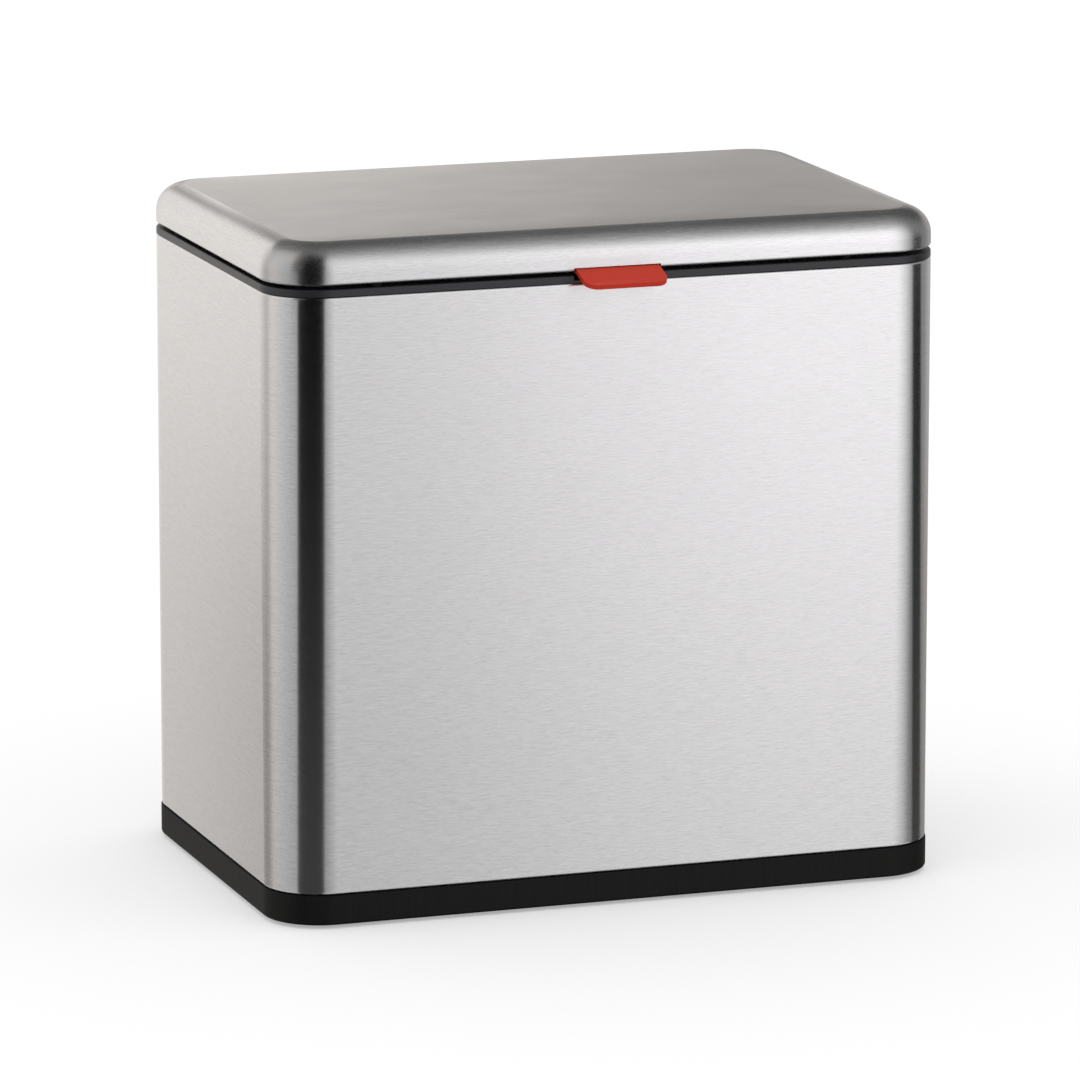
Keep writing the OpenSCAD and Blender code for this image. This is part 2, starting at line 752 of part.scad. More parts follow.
// Right hinge arm: knuckle with a stop lug, a tongue over the collar and a screwed foot
module hinge_arm() {
    difference() {
        union() {
            x_rod(arm_x0, arm_x1, hinge_y, hinge_z, knuckle_d);
            block([arm_plate_x0, arm_step_y, arm_under], [arm_x1, hinge_y, arm_top]);
            block([arm_x0, hinge_y - knuckle_r + 1, hinge_z], [arm_x1, hinge_y, arm_under + 0.5]);
            block([arm_plate_x0, arm_step_y, arm_under],
                  [arm_x1, arm_step_y + 3, panel_z1 + arm_plate_t]);
            block([arm_plate_x0, arm_foot_y, panel_z1],
                  [arm_x1, arm_step_y + 3, panel_z1 + arm_plate_t]);
            block([arm_x0, hinge_y + 2, hinge_z - stop_h / 2],
                  [arm_x1, hinge_y + stop_r, hinge_z + stop_h / 2]);
            for (y = arm_screw_y)
                translate([arm_mid_x, y, panel_z1]) cylinder(h = arm_boss_h, d = arm_boss_d);
        }
        x_rod(arm_x0 - 1, arm_x1 + 1, hinge_y, hinge_z, hinge_pin_d + 2 * pin_gap);
        for (y = arm_screw_y)
            translate([arm_mid_x, y, panel_z1 - 1])
                cylinder(h = arm_boss_h + 0.5, d = screw_d + 0.1);
    }
}

module hinge_arms() {
    color(pale_plastic)
        left_and_right() hinge_arm();
}

module arm_screws() {
    color(bright_steel)
        for (s = [-1, 1], y = arm_screw_y)
            translate([s * arm_mid_x, y, panel_z0])
                screw(screw_d, liner_t + screw_grip, screw_head_d, screw_head_h);
}

// Places of the lid's buffers, two at the front and two at the back
function buffer_places() = [for (sx = [-0.35, 0.35], sy = [-1, 1])
    [sx * body_w, sy * (body_d / 2 - buffer_in)]];

module lid_buffers() {
    color(rubber)
        for (p = buffer_places())
            translate([p[0], p[1], collar_z1]) {
                cylinder(h = panel_z0 - collar_z1, d = buffer_d);
                cylinder(h = panel_z1 - collar_z1 + 0.3, d = buffer_stem_d);
                translate([0, 0, panel_z1 - collar_z1 + 0.1])
                    cylinder(h = buffer_stem_d / 2, d1 = buffer_stem_d + 1, d2 = buffer_stem_d - 1);
            }
}

module latch_pin() {
    color(bright_steel)
        x_rod(-cheek_x - cheek_t - 0.4, cheek_x + cheek_t + 0.4, pivot_y, pivot_z, latch_pin_d);
}

// Latch spring between the tab's rear arm and the liner's bridge
latch_steps = 8 * latch_turns;
latch_rise = bridge_z - rear_arm_top - latch_wire - 0.1;
latch_coil_r = (latch_coil_d - latch_wire) / 2;
latch_path = [for (i = [0:latch_steps])
    [latch_coil_r * cos(45 * i), latch_coil_r * sin(45 * i), latch_rise * i / latch_steps]];
latch_rings = [for (i = [0:latch_steps])
    let (n = [cos(45 * i), sin(45 * i), 0], t = [-sin(45 * i), cos(45 * i), 0])
    wire_ring(latch_path[i], n, cross(t, n), latch_wire / 2)];

module latch_spring() {
    echo(latch_spring_least_gap = least_gap(latch_path, 6, latch_wire));
    color(bright_steel)
        translate([0, spring_y, rear_arm_top + latch_wire / 2 + 0.05])
            wire_tube(latch_rings);
}

module latch_cover() {
    color(grey_plastic)
        difference() {
            block([-cover_w / 2 - cover_ear, cover_y0, panel_z0 - cover_depth],
                  [cover_w / 2 + cover_ear, cover_y1, panel_z0]);
            block([-cover_w / 2 + cover_t, cover_y0 + cover_t, panel_z0 - cover_depth + cover_t],
                  [cover_w / 2 - cover_t, cover_y1 - cover_t, panel_z0 + 1]);
            left_and_right() {
                block([cover_w / 2, cover_y0 - 1, panel_z0 - cover_depth - 1],
                      [cover_w / 2 + cover_ear + 1, cover_y1 + 1, panel_z0 - cover_t]);
                translate([cover_screw_x, cover_screw_y, panel_z0 - cover_depth])
                    cylinder(h = cover_depth + 1, d = small_screw_d + 0.4);
            }
            // Way through for the tab's rear arm
            block([-arm_w / 2 - 1, cover_y0 - 1, pivot_z - 2.2],
                  [arm_w / 2 + 1, cover_y0 + cover_t + 1, panel_z0 + 1]);
        }
}

module cover_screws() {
    color(bright_steel)
        for (s = [-1, 1])
            translate([s * cover_screw_x, cover_screw_y, panel_z0 - cover_t])
                screw(small_screw_d, cover_t + small_grip, small_head_d, small_head_h);
}

// Red lip that slopes down in front of the lid, with round front corners
module tab_lip() {
    r = tab_corner_r;
    run = tab_out / cos(tab_slope);
    translate([0, front_y, tab_top_z])
        rotate([tab_slope, 0, 0])
            translate([0, 0, -tab_t]) {
                translate([-tab_w / 2 + r, -run, 0]) cube([tab_w - 2 * r, run, tab_t]);
                translate([-tab_w / 2, -run + r, 0]) cube([tab_w, run - r, tab_t]);
                for (s = [-1, 1])
                    translate([s * (tab_w / 2 - r), -run + r, 0])
                        rotate([0, 0, s > 0 ? 270 : 180])
                            rotate_extrude(angle = 90)
                                square([r, tab_t]);
            }
}

module push_tab() {
    color(red_plastic)
        difference() {
            union() {
                tab_lip();
                block([-tab_w / 2, front_y - 0.3, tab_bottom_z], [tab_w / 2, neck_y, tab_top_z]);
                block([-tab_hub_w / 2, neck_y - 1, tab_bottom_z],
                      [tab_hub_w / 2, pivot_y, tab_top_z]);
                x_rod(-tab_hub_w / 2, tab_hub_w / 2, pivot_y, pivot_z, 2 * hub_r);
                block([-arm_w / 2, pivot_y, rear_arm_top - rear_arm_t],
                      [arm_w / 2, spring_y + 4, rear_arm_top]);
                translate([0, spring_y, rear_arm_top - 0.5])
                    cylinder(h = spring_stud_h + 0.5, d = spring_stud_d);
                block([-hook_w / 2, hook_y0, nose_top - nose_h],
                      [hook_w / 2, hook_y0 + hook_t, pivot_z]);
                hook_nose();
            }
            x_rod(-tab_hub_w / 2 - 1, tab_hub_w / 2 + 1, pivot_y, pivot_z, latch_pin_d + 2 * pin_gap);
        }
}

// Nose of the hook, flat on top and sloped below so that the lid can snap shut
module hook_nose() {
    translate([-hook_w / 2, 0, 0])
        rotate([90, 0, 90])
            linear_extrude(hook_w)
                polygon([[nose_tip_y, nose_top], [nose_tip_y, nose_top - 1],
                         [hook_y0 + 0.5, nose_top - nose_h], [hook_y0 + 0.5, nose_top]]);
}

module bucket_section() {
    t = bucket_t;
    a = bucket_draft;
    top = bucket_top_z;
    wall_top = -bucket_top_in;
    wall_low = -bucket_bottom_in;
    r = bucket_foot_r;
    // Outside edge down, round the foot, and back up the inside
    foot = [for (k = [0:4]) [wall_low - r + r * cos(22.5 * k), bucket_z0 + r - r * sin(22.5 * k)]];
    inside = [for (k = [4:-1:0])
        [wall_low - r + (r - t) * cos(22.5 * k), bucket_z0 + r - (r - t) * sin(22.5 * k)]];
    polygon(concat([[wall_top, top]], foot, inside, [[wall_top - t, top]]));
    difference() {
        between([wall_top - t / 2, top - rim_t], [-rim_edge_in, top]);
        translate([-rim_edge_in - 1, top - 1])
            difference() {
                square(2);
                circle(1);
            }
    }
}

// Block with round corners that cuts a carry slot through an end wall
module carry_slot() {
    l = slot_l / 2 - slot_r;
    h = slot_h / 2 - slot_r;
    block([-slot_cut, -l - slot_r, -h], [slot_cut, l + slot_r, h]);
    block([-slot_cut, -l, -h - slot_r], [slot_cut, l, h + slot_r]);
    for (sy = [-1, 1], sz = [-1, 1])
        x_rod(-slot_cut, slot_cut, sy * l, sz * h, 2 * slot_r);
}

module bucket() {
    color(grey_plastic)
        difference() {
            union() {
                round_outline() bucket_section();
                inner_plate(bucket_bottom_in + bucket_foot_r - 0.5, bucket_z0, bucket_t);
            }
            // Notch that lets the rim pass the striker and its screw heads
            block([-striker_w / 2 - 1, front_y, bucket_top_z - rim_t - 1],
                  [striker_w / 2 + 1, striker_y + small_head_h + 0.5, bucket_top_z + 1]);
            for (s = [-1, 1])
                translate([s * (body_w / 2 - bucket_top_in), 0, bucket_top_z - slot_drop - slot_h / 2])
                    carry_slot();
        }
}

plinth();
feet();
plinth_screws();
body_shell();
collar();
striker();
striker_screws();
hinge_pins();
pin_clips();
hinge_springs();
lid_shell();
lid_liner();
hinge_arms();
arm_screws();
lid_buffers();
latch_pin();
latch_spring();
latch_cover();
cover_screws();
push_tab();
bucket();
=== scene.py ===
# %% [markdown]
# # A steel countertop bin with a push tab
# The bin is a brushed steel wrap on a black plinth, with a sprung steel lid that a red tab lets
# go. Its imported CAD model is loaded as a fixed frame: every piece below is made in metres, in the
# CAD's own place, and replaces the CAD node it stands for. Nothing is fitted by eye.

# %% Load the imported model
import math

import bmesh
import bpy
from mathutils import Matrix, Vector


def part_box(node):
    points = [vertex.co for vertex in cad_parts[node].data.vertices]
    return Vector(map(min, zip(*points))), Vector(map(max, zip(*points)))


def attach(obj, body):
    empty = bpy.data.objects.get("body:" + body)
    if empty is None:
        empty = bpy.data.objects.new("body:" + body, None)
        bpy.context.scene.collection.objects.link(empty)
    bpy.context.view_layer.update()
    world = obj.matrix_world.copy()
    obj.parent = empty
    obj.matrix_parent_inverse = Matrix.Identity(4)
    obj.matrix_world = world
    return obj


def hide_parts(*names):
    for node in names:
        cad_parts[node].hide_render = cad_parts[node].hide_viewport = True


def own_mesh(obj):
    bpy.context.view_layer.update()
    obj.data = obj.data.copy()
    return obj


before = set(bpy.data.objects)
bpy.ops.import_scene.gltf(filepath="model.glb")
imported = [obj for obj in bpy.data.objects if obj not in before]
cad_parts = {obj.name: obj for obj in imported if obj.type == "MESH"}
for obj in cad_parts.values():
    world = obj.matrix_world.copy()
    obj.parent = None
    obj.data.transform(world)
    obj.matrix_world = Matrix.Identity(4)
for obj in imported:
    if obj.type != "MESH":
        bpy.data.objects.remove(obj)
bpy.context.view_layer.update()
MM = 0.001

# %% [markdown]
# ## The camera
# The photograph was taken from a little above and to the left with a long lens, so upright edges
# stay almost parallel. The angles, the distance and the focal length come from fitting the bin's
# straight edges, which is safer than turning the camera until it looks right.

# %% Camera
AZIMUTH = math.radians(-19.10)
ELEVATION = math.radians(11.82)
DISTANCE = 3.2967
TARGET = Vector((0, 0, 0.1396))

lens = bpy.data.cameras.new("long_lens")
lens.lens = 251.7
lens.sensor_width = 36
camera = bpy.data.objects.new("photograph_camera", lens)
bpy.context.scene.collection.objects.link(camera)
away = Vector((math.sin(AZIMUTH) * math.cos(ELEVATION),
               -math.cos(AZIMUTH) * math.cos(ELEVATION),
               math.sin(ELEVATION)))
camera.location = TARGET + DISTANCE * away
camera.rotation_euler = (-away).to_track_quat("-Z", "Y").to_euler()
bpy.context.scene.camera = camera
print("camera at", [round(v, 3) for v in camera.location])

# %% [markdown]
# ## Colours and nodes
# A colour picked from a picture is an sRGB value, and a shader wants linear light, so every
# colour below is written as a hex value and goes through one function. A second function adds a
# node with its settings and links, which keeps each material readable as a list of steps.

# %% Helpers for colours and nodes
def linear(hex_colour):
    """Linear RGBA of an sRGB hex value such as #C8321E."""
    channels = [int(hex_colour[i:i + 2], 16) / 255 for i in (1, 3, 5)]
    return [c / 12.92 if c <= 0.04045 else ((c + 0.055) / 1.055) ** 2.4 for c in channels] + [1.0]


def shaded(tone, factor):
    """A linear colour made darker or lighter, without its alpha."""
    return [min(1.0, c * factor) for c in tone[:3]]


def feed(tree, node, inputs):
    """Gives a node its inputs: in the order of its sockets, or by their names or numbers.

    Each is a value, an output, or a node, which stands for its first output in use.
    """
    for key, value in inputs.items() if isinstance(inputs, dict) else enumerate(inputs):
        if isinstance(value, bpy.types.Node):
            value = next(output for output in value.outputs if output.enabled)
        if isinstance(value, bpy.types.NodeSocket):
            tree.links.new(value, node.inputs[key])
        else:
            node.inputs[key].default_value = value


def add(tree, kind, inputs=(), stops=(), **settings):
    """Adds one node with its settings and inputs.

    stops are a colour ramp's, each a position and a linear grey or RGB.
    """
    node = tree.nodes.new(kind)
    for name, value in settings.items():
        setattr(node, name, value)
    if stops:
        elements = node.color_ramp.elements
        while len(elements) > 1:
            elements.remove(elements[-1])
        for i, (position, tone) in enumerate(stops):
            element = elements[0] if i == 0 else elements.new(position)
            element.position = position
            element.color = [tone] * 3 + [1] if isinstance(tone, float) else list(tone[:3]) + [1]
    feed(tree, node, inputs)
    return node


# %% [markdown]
# ## Grain and speckle
# Brushing leaves fine parallel lines, and a mould leaves a fine even texture. Both are noise:
# stretched along one way for the first, the same all ways for the second. The sizes are given in
# millimetres on the bin. Real brushing is under 0.1 mm wide, which is finer than a pixel here, so
# its streaks are drawn 0.4 mm wide, which is about as coarse as the photograph shows them.

# %% Noise measured in millimetres
def start_material(name, colour, roughness, metallic, **constants):
    """A material whose shader has its constant numbers set on its own sockets.

    Its tree, its shader and the places on the object, which are the frame's, come with it.
    """
    material = bpy.data.materials.new(name)
    material.use_nodes = True
    tree = material.node_tree
    shader = tree.nodes["Principled BSDF"]
    feed(tree, shader, {"Base Color": linear(colour), "Roughness": roughness,
                        "Metallic": metallic})
    feed(tree, shader, {socket.replace("_", " "): value for socket, value in constants.items()})
    return material, tree, shader, add(tree, "ShaderNodeTexCoord").outputs["Object"]


def grain_in_mm(tree, place, size, detail, rough, shift=(0.0, 0.0, 0.0)):
    """Noise whose features have the given size in mm along X, Y and Z."""
    mapped = add(tree, "ShaderNodeMapping", {"Vector": place, "Location": shift,
                                             "Scale": [1 / (mm * MM) for mm in size]})
    return add(tree, "ShaderNodeTexNoise", {"Vector": mapped, "Scale": 1.0, "Detail": detail,
                                            "Roughness": rough})


# %% [markdown]
# ## Brushed and satin stainless steel
# The wrap and the lid's rim are stainless sheet, AISI 430 or 304, brushed along its length with a
# belt. Each line scatters light up and down much more than along itself, so reflections stay
# sharp sideways and smear upright: that is anisotropy, with its tangent turned upright. The lines
# also vary a little in depth, which gives the bright and dull streaks. The lid's top is finished
# with a finer belt and looks satin, and its corners are polished with a pad, which leaves arcs. A
# weld closes the wrap at the back and is brushed over, so only a faint line of it is left.

# %% Steel finishes
# Sizes of the grain in mm along X, Y and Z, and the depth of the brushing in mm
STREAKS, FINE_LINES, CLOUDS = (9.0, 9.0, 0.36), (2.4, 1.6, 0.22), (45.0, 45.0, 30.0)
BRUSHING_DEPTH = 0.012
# The weld: where it starts and ends to fade, from the middle, and what Y counts as the back, in
# metres, and how much of it shows
WELD_SOLID, WELD_GONE, BACK, WELD_SHARE = 0.0002, 0.0006, 0.099, 0.35
# Where the lid's edge bends both ways, in metres from the middle along X and along Y
CORNER_X, CORNER_Y = (0.122, 0.134), (0.072, 0.084)
CORNER_ARCS = (9.0, 0.8, 0.55)


def brushed_steel(name, colour, roughness, anisotropy, weld=False, polished_corners=False):
    """Steel brushed along X and Y. It can have the wrap's weld or the lid's polished corners."""
    material, tree, shader, place = start_material(
        name, colour, roughness, 1.0, Anisotropic=anisotropy, Anisotropic_Rotation=0.25)
    streaks = grain_in_mm(tree, place, STREAKS, 3.0, 0.6)
    fine = grain_in_mm(tree, place, FINE_LINES, 2.0, 0.5, (3.0, 1.0, 7.0))
    clouds = grain_in_mm(tree, place, CLOUDS, 2.0, 0.5)
    grain = height = add(tree, "ShaderNodeMix", {0: 0.5, 2: streaks, 3: fine}, data_type="FLOAT")
    tone = linear(colour)
    shade = add(tree, "ShaderNodeValToRGB", (grain,), stops=[
        (0.34, shaded(tone, 0.88)), (0.5, tone), (0.66, shaded(tone, 1.08))])
    wear = add(tree, "ShaderNodeMath", (grain, 0.12, roughness - 0.085), operation="MULTIPLY_ADD")
    wear = add(tree, "ShaderNodeMath", (clouds, 0.05, wear), operation="MULTIPLY_ADD")
    axis = add(tree, "ShaderNodeSeparateXYZ", (place,)).outputs
    across = add(tree, "ShaderNodeMath", (axis[0],), operation="ABSOLUTE")
    along = add(tree, "ShaderNodeMath", (axis[1],), operation="ABSOLUTE")
    if weld:
        # A brushed weld, about 0.8 mm wide with soft sides, runs up the middle of the back
        line = add(tree, "ShaderNodeMapRange", (across, WELD_SOLID, WELD_GONE, WELD_SHARE, 0.0))
        behind = add(tree, "ShaderNodeMath", (axis[1], BACK), operation="GREATER_THAN")
        line = add(tree, "ShaderNodeMath", (line, behind), operation="MULTIPLY")
        shade = add(tree, "ShaderNodeMix", {0: line, 6: shade, 7: shaded(tone, 0.45) + [1]},
                    data_type="RGBA")
    if polished_corners:
        # The belt can't follow a double curve, so a pad has gone round the corners in arcs
        corner = add(tree, "ShaderNodeMath", operation="MULTIPLY", inputs=(
            add(tree, "ShaderNodeMapRange", (across, *CORNER_X, 0.0, 1.0),
                interpolation_type="SMOOTHSTEP"),
            add(tree, "ShaderNodeMapRange", (along, *CORNER_Y, 0.0, 1.0),
                interpolation_type="SMOOTHSTEP")))
        diagonal = add(tree, "ShaderNodeCombineXYZ", (
            add(tree, "ShaderNodeMath", (across, along), operation="SUBTRACT"),
            add(tree, "ShaderNodeMath", (across, along), operation="ADD"), axis[2]))
        arcs = grain_in_mm(tree, diagonal, CORNER_ARCS, 3.0, 0.65)
        scuffed = add(tree, "ShaderNodeValToRGB", (arcs,), stops=[
            (0.3, shaded(tone, 0.72)), (0.7, shaded(tone, 0.86))])
        scuffed_wear = add(tree, "ShaderNodeMapRange", (arcs, 0.3, 0.7, 0.25, 0.40))
        shade = add(tree, "ShaderNodeMix", {0: corner, 6: shade, 7: scuffed}, data_type="RGBA")
        wear = add(tree, "ShaderNodeMix", {0: corner, 2: wear, 3: scuffed_wear},
                   data_type="FLOAT")
        height = add(tree, "ShaderNodeMix", {0: corner, 2: grain, 3: arcs}, data_type="FLOAT")
    feed(tree, shader, {
        "Base Color": shade, "Roughness": wear,
        "Tangent": add(tree, "ShaderNodeTangent", direction_type="RADIAL", axis="Z"),
        "Normal": add(tree, "ShaderNodeBump", {"Height": height, "Strength": 0.6,
                                               "Distance": BRUSHING_DEPTH * MM})})
    return material


def satin_steel(name, colour, roughness):
    """Steel finished with a fine belt, with no lines that show."""
    material, tree, shader, place = start_material(name, colour, roughness, 1.0)
    fine = grain_in_mm(tree, place, (12.0, 0.9, 0.9), 2.0, 0.5)
    clouds = grain_in_mm(tree, place, (35.0, 22.0, 22.0), 3.0, 0.6)
    tone = linear(colour)
    wear = add(tree, "ShaderNodeMath", (fine, 0.04, roughness - 0.05), operation="MULTIPLY_ADD")
    feed(tree, shader, {
        "Base Color": add(tree, "ShaderNodeValToRGB", (fine,), stops=[
            (0.3, shaded(tone, 0.97)), (0.7, shaded(tone, 1.02))]),
        "Roughness": add(tree, "ShaderNodeMath", (clouds, 0.06, wear), operation="MULTIPLY_ADD"),
        "Normal": add(tree, "ShaderNodeBump", {"Height": fine, "Strength": 0.5,
                                               "Distance": 0.002 * MM})})
    return material


wrap_steel = brushed_steel("brushed_stainless_wrap", "#E0DFDF", 0.23, 0.88, weld=True)
rim_steel = brushed_steel("brushed_stainless_lid_rim", "#E0DFDF", 0.25, 0.80,
                          polished_corners=True)
top_steel = satin_steel("satin_stainless_lid_top", "#E0DFDE", 0.26)
print("steel finishes:", wrap_steel.name, rim_steel.name, top_steel.name)

# %% [markdown]
# ## Moulded plastics and rubber
# The plinth, collar, liner, bucket and tab are injection moulded. A mould is spark-eroded or
# polished, and leaves its texture on the plastic: matt and grainy on the plinth, finer and
# glossier on the collar, almost smooth on the red tab. Plastic also shows slow tone changes where
# it flowed and cooled, and the plinth has the upright drag marks of its mould. One function makes
# them all, with the grain size, gloss and colour given.

# %% Plastic and rubber finishes
def moulded(name, colour, roughness, grain_mm, depth_mm, mottle=0.06, flow_mm=(38.0, 38.0, 9.0),
            **constants):
    """Plastic or rubber with the mould's texture, and a mottle where it flowed."""
    material, tree, shader, place = start_material(name, colour, roughness, 0.0, **constants)
    speckle = grain_in_mm(tree, place, (grain_mm,) * 3, 2.0, 0.5)
    flow = grain_in_mm(tree, place, flow_mm, 3.0, 0.6, (2.0, 5.0, 1.0))
    mixed = add(tree, "ShaderNodeMix", {0: 0.6, 2: speckle, 3: flow}, data_type="FLOAT")
    tone = linear(colour)
    feed(tree, shader, {
        "Base Color": add(tree, "ShaderNodeValToRGB", (mixed,), stops=[
            (0.3, shaded(tone, 1 - mottle)), (0.7, shaded(tone, 1 + mottle))]),
        "Roughness": add(tree, "ShaderNodeMath", (mixed, 0.16, roughness - 0.08),
                         operation="MULTIPLY_ADD"),
        "Normal": add(tree, "ShaderNodeBump", {"Height": speckle, "Strength": 0.7,
                                               "Distance": depth_mm * MM})})
    return material


plinth_plastic = moulded("spark_textured_black_polypropylene", "#121110", 0.58, 0.9, 0.02, 0.45,
                         flow_mm=(1.8, 1.8, 60.0), Specular_IOR_Level=0.18)
collar_plastic = moulded("fine_textured_black_abs", "#27272A", 0.36, 0.8, 0.01, 0.08,
                         Specular_IOR_Level=0.45)
liner_plastic = moulded("textured_grey_abs_liner", "#5B5C5E", 0.50, 0.6, 0.02)
bucket_plastic = moulded("textured_grey_polypropylene_bucket", "#6B6D70", 0.48, 0.8, 0.03)
arm_plastic = moulded("glass_filled_grey_nylon", "#8E9092", 0.52, 0.4, 0.02, 0.05)
tab_plastic = moulded("semi_gloss_red_abs", "#C43624", 0.42, 0.8, 0.004, 0.03,
                      Specular_IOR_Level=0.15)
foot_rubber = moulded("matt_black_rubber", "#1A1A1A", 0.80, 0.4, 0.02, 0.10)
print("plastics:", plinth_plastic.name, collar_plastic.name, bucket_plastic.name)

# %% [markdown]
# ## Small metal parts
# Screws are zinc plated, pins are drawn bar, springs are drawn wire and the clips are blackened
# spring steel. Plating is faintly mottled and drawing leaves lines along the wire, so noise in
# tone and roughness is enough at their size.

# %% Fastener finishes
def plated(name, colour, roughness, grain_mm):
    """Small metal parts: plated, drawn or stamped."""
    material, tree, shader, place = start_material(name, colour, roughness, 1.0)
    mottle = grain_in_mm(tree, place, grain_mm, 3.0, 0.6)
    tone = linear(colour)
    feed(tree, shader, {
        "Base Color": add(tree, "ShaderNodeValToRGB", (mottle,), stops=[
            (0.3, shaded(tone, 0.82)), (0.7, tone)]),
        "Roughness": add(tree, "ShaderNodeMapRange",
                         (mottle, 0.3, 0.7, roughness - 0.07, roughness + 0.09)),
        "Normal": add(tree, "ShaderNodeBump", {"Height": mottle, "Strength": 0.4,
                                               "Distance": 0.004 * MM})})
    return material


screw_zinc = plated("zinc_plated_steel", "#C3C6CB", 0.32, (0.9, 0.9, 0.9))
pin_bar = plated("drawn_steel_bar", "#C9C8C6", 0.24, (6.0, 0.3, 0.3))
spring_wire = plated("drawn_spring_wire", "#AFB1B5", 0.28, (0.5, 0.5, 0.5))
clip_steel = plated("blackened_spring_steel", "#55565A", 0.42, (0.7, 0.7, 0.7))
striker_steel = plated("stamped_stainless_plate", "#CFCFCE", 0.30, (4.0, 0.5, 0.5))
print("fastener finishes:", screw_zinc.name, pin_bar.name, spring_wire.name)

# %% [markdown]
# ## From live modifiers to plain pieces
# A Geometry Nodes result is turned into a plain mesh before it goes on the frame, so the export
# and every other view see the same thing. Flat steel next to a tight bend only looks flat if its
# normals ignore the bend, which is what weighted normals do: the larger face wins.

# %% Helpers for finished pieces
def placed(name, data):
    """A new object in the scene, holding a mesh or a curve."""
    made = bpy.data.objects.new(name, data)
    bpy.context.scene.collection.objects.link(made)
    return made


def mesh_of(name, shape):
    """The mesh of a finished bmesh, which is freed."""
    mesh = bpy.data.meshes.new(name)
    shape.to_mesh(mesh)
    shape.free()
    return mesh


def plain_piece(source, name, others=()):
    """The evaluated object as a plain mesh piece. The live object and its helpers go."""
    deps = bpy.context.evaluated_depsgraph_get()
    mesh = bpy.data.meshes.new_from_object(source.evaluated_get(deps), depsgraph=deps)
    piece = placed(name, mesh)
    for spent in (source, *others):
        bpy.data.objects.remove(spent)
    return piece


def circle(shape, radius, z, sides):
    """Points of a circle round the Z axis, in metres."""
    return [shape.verts.new((radius * math.cos(2 * math.pi * k / sides),
                             radius * math.sin(2 * math.pi * k / sides), z))
            for k in range(sides)]


def band(shape, low, high):
    """Faces between two rings of as many points."""
    for k in range(len(low)):
        after = (k + 1) % len(low)
        shape.faces.new((low[k], low[after], high[after], high[k]))


def outward(mesh):
    """Turns every face of a closed mesh outwards."""
    shape = bmesh.new()
    shape.from_mesh(mesh)
    bmesh.ops.remove_doubles(shape, verts=shape.verts, dist=1e-6)
    bmesh.ops.recalc_face_normals(shape, faces=shape.faces)
    shape.to_mesh(mesh)
    shape.free()


def smooth(piece, angle=32):
    """Smooth shading that breaks at edges over the angle, with the larger faces kept flat."""
    piece.data.shade_smooth()
    piece.data.set_sharp_from_angle(angle=math.radians(angle))
    weighted = piece.modifiers.new("flat_faces_win", "WEIGHTED_NORMAL")
    weighted.keep_sharp = True
    name = piece.name
    piece.name = name + "_live"
    return plain_piece(piece, name)


def cut_away(piece, block):
    """Adds a cut by a block to a piece, as a live modifier."""
    cut = piece.modifiers.new(block.name, "BOOLEAN")
    cut.operation = "DIFFERENCE"
    cut.object = block
    cut.solver = "EXACT"


def seat(piece, body, slot, *nodes):
    """Puts a finished piece on its body in place of its CAD nodes."""
    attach(piece, body)
    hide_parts(*nodes)
    print(piece.name, len(piece.data.polygons), "faces, stands for", ", ".join(nodes))
    return piece


# %% [markdown]
# ## The steel wrap
# The real wrap is one strip of sheet, folded in at both edges, rolled round a former and welded
# at the back. It could be a box with bevels, but its shape follows a rule: one folded section
# carried round a rectangle with round corners. Geometry Nodes do just that. The tree draws the
# outline from its named sizes, rounds it, and sweeps the section along it.

# %% Start and end of a Geometry Nodes tree
def start_tree(name, inputs):
    """A tree with the given inputs, each a socket's name and type, and their outputs."""
    tree = bpy.data.node_groups.new(name, "GeometryNodeTree")
    tree.interface.new_socket("Geometry", in_out="OUTPUT", socket_type="NodeSocketGeometry")
    for socket, kind in inputs.items():
        tree.interface.new_socket(socket, in_out="INPUT", socket_type="NodeSocket" + kind)
    return tree, add(tree, "NodeGroupInput").outputs


def end_tree(tree, geometry, finish):
    """Makes any instances real, gives the result its material and sends it out."""
    real = add(tree, "GeometryNodeRealizeInstances", (geometry,))
    finished = add(tree, "GeometryNodeSetMaterial", {"Geometry": real, "Material": finish})
    add(tree, "NodeGroupOutput", (finished,))
    return tree


def run_tree(source, tree, sizes):
    """Adds the tree as a modifier and sets its inputs by their identifiers."""
    modifier = source.modifiers.new(tree.name, "NODES")
    modifier.node_group = tree
    for item in tree.interface.items_tree:
        if item.item_type == "SOCKET" and item.in_out == "INPUT" and item.name in sizes:
            modifier[item.identifier] = sizes[item.name]


# %% The section of a folded sheet
def arc(out, up, radius, start, end, steps):
    """Points on an arc of a section, in mm, with angles in degrees from straight out."""
    return [(out + radius * math.cos(math.radians(start + (end - start) * k / steps)),
             up + radius * math.sin(math.radians(start + (end - start) * k / steps)))
            for k in range(steps + 1)]


SHEET = 0.8
BEND = 1.4
WRAP_LO, WRAP_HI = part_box("body_shell")
wrap_z0, wrap_z1 = WRAP_LO.z / MM, WRAP_HI.z / MM
half_w, half_d = WRAP_HI.x / MM, WRAP_HI.y / MM
CORNER, CORNER_STEPS = 25.0, 32
LOWER_FLANGE, UPPER_FLANGE = 14.0, 6.5

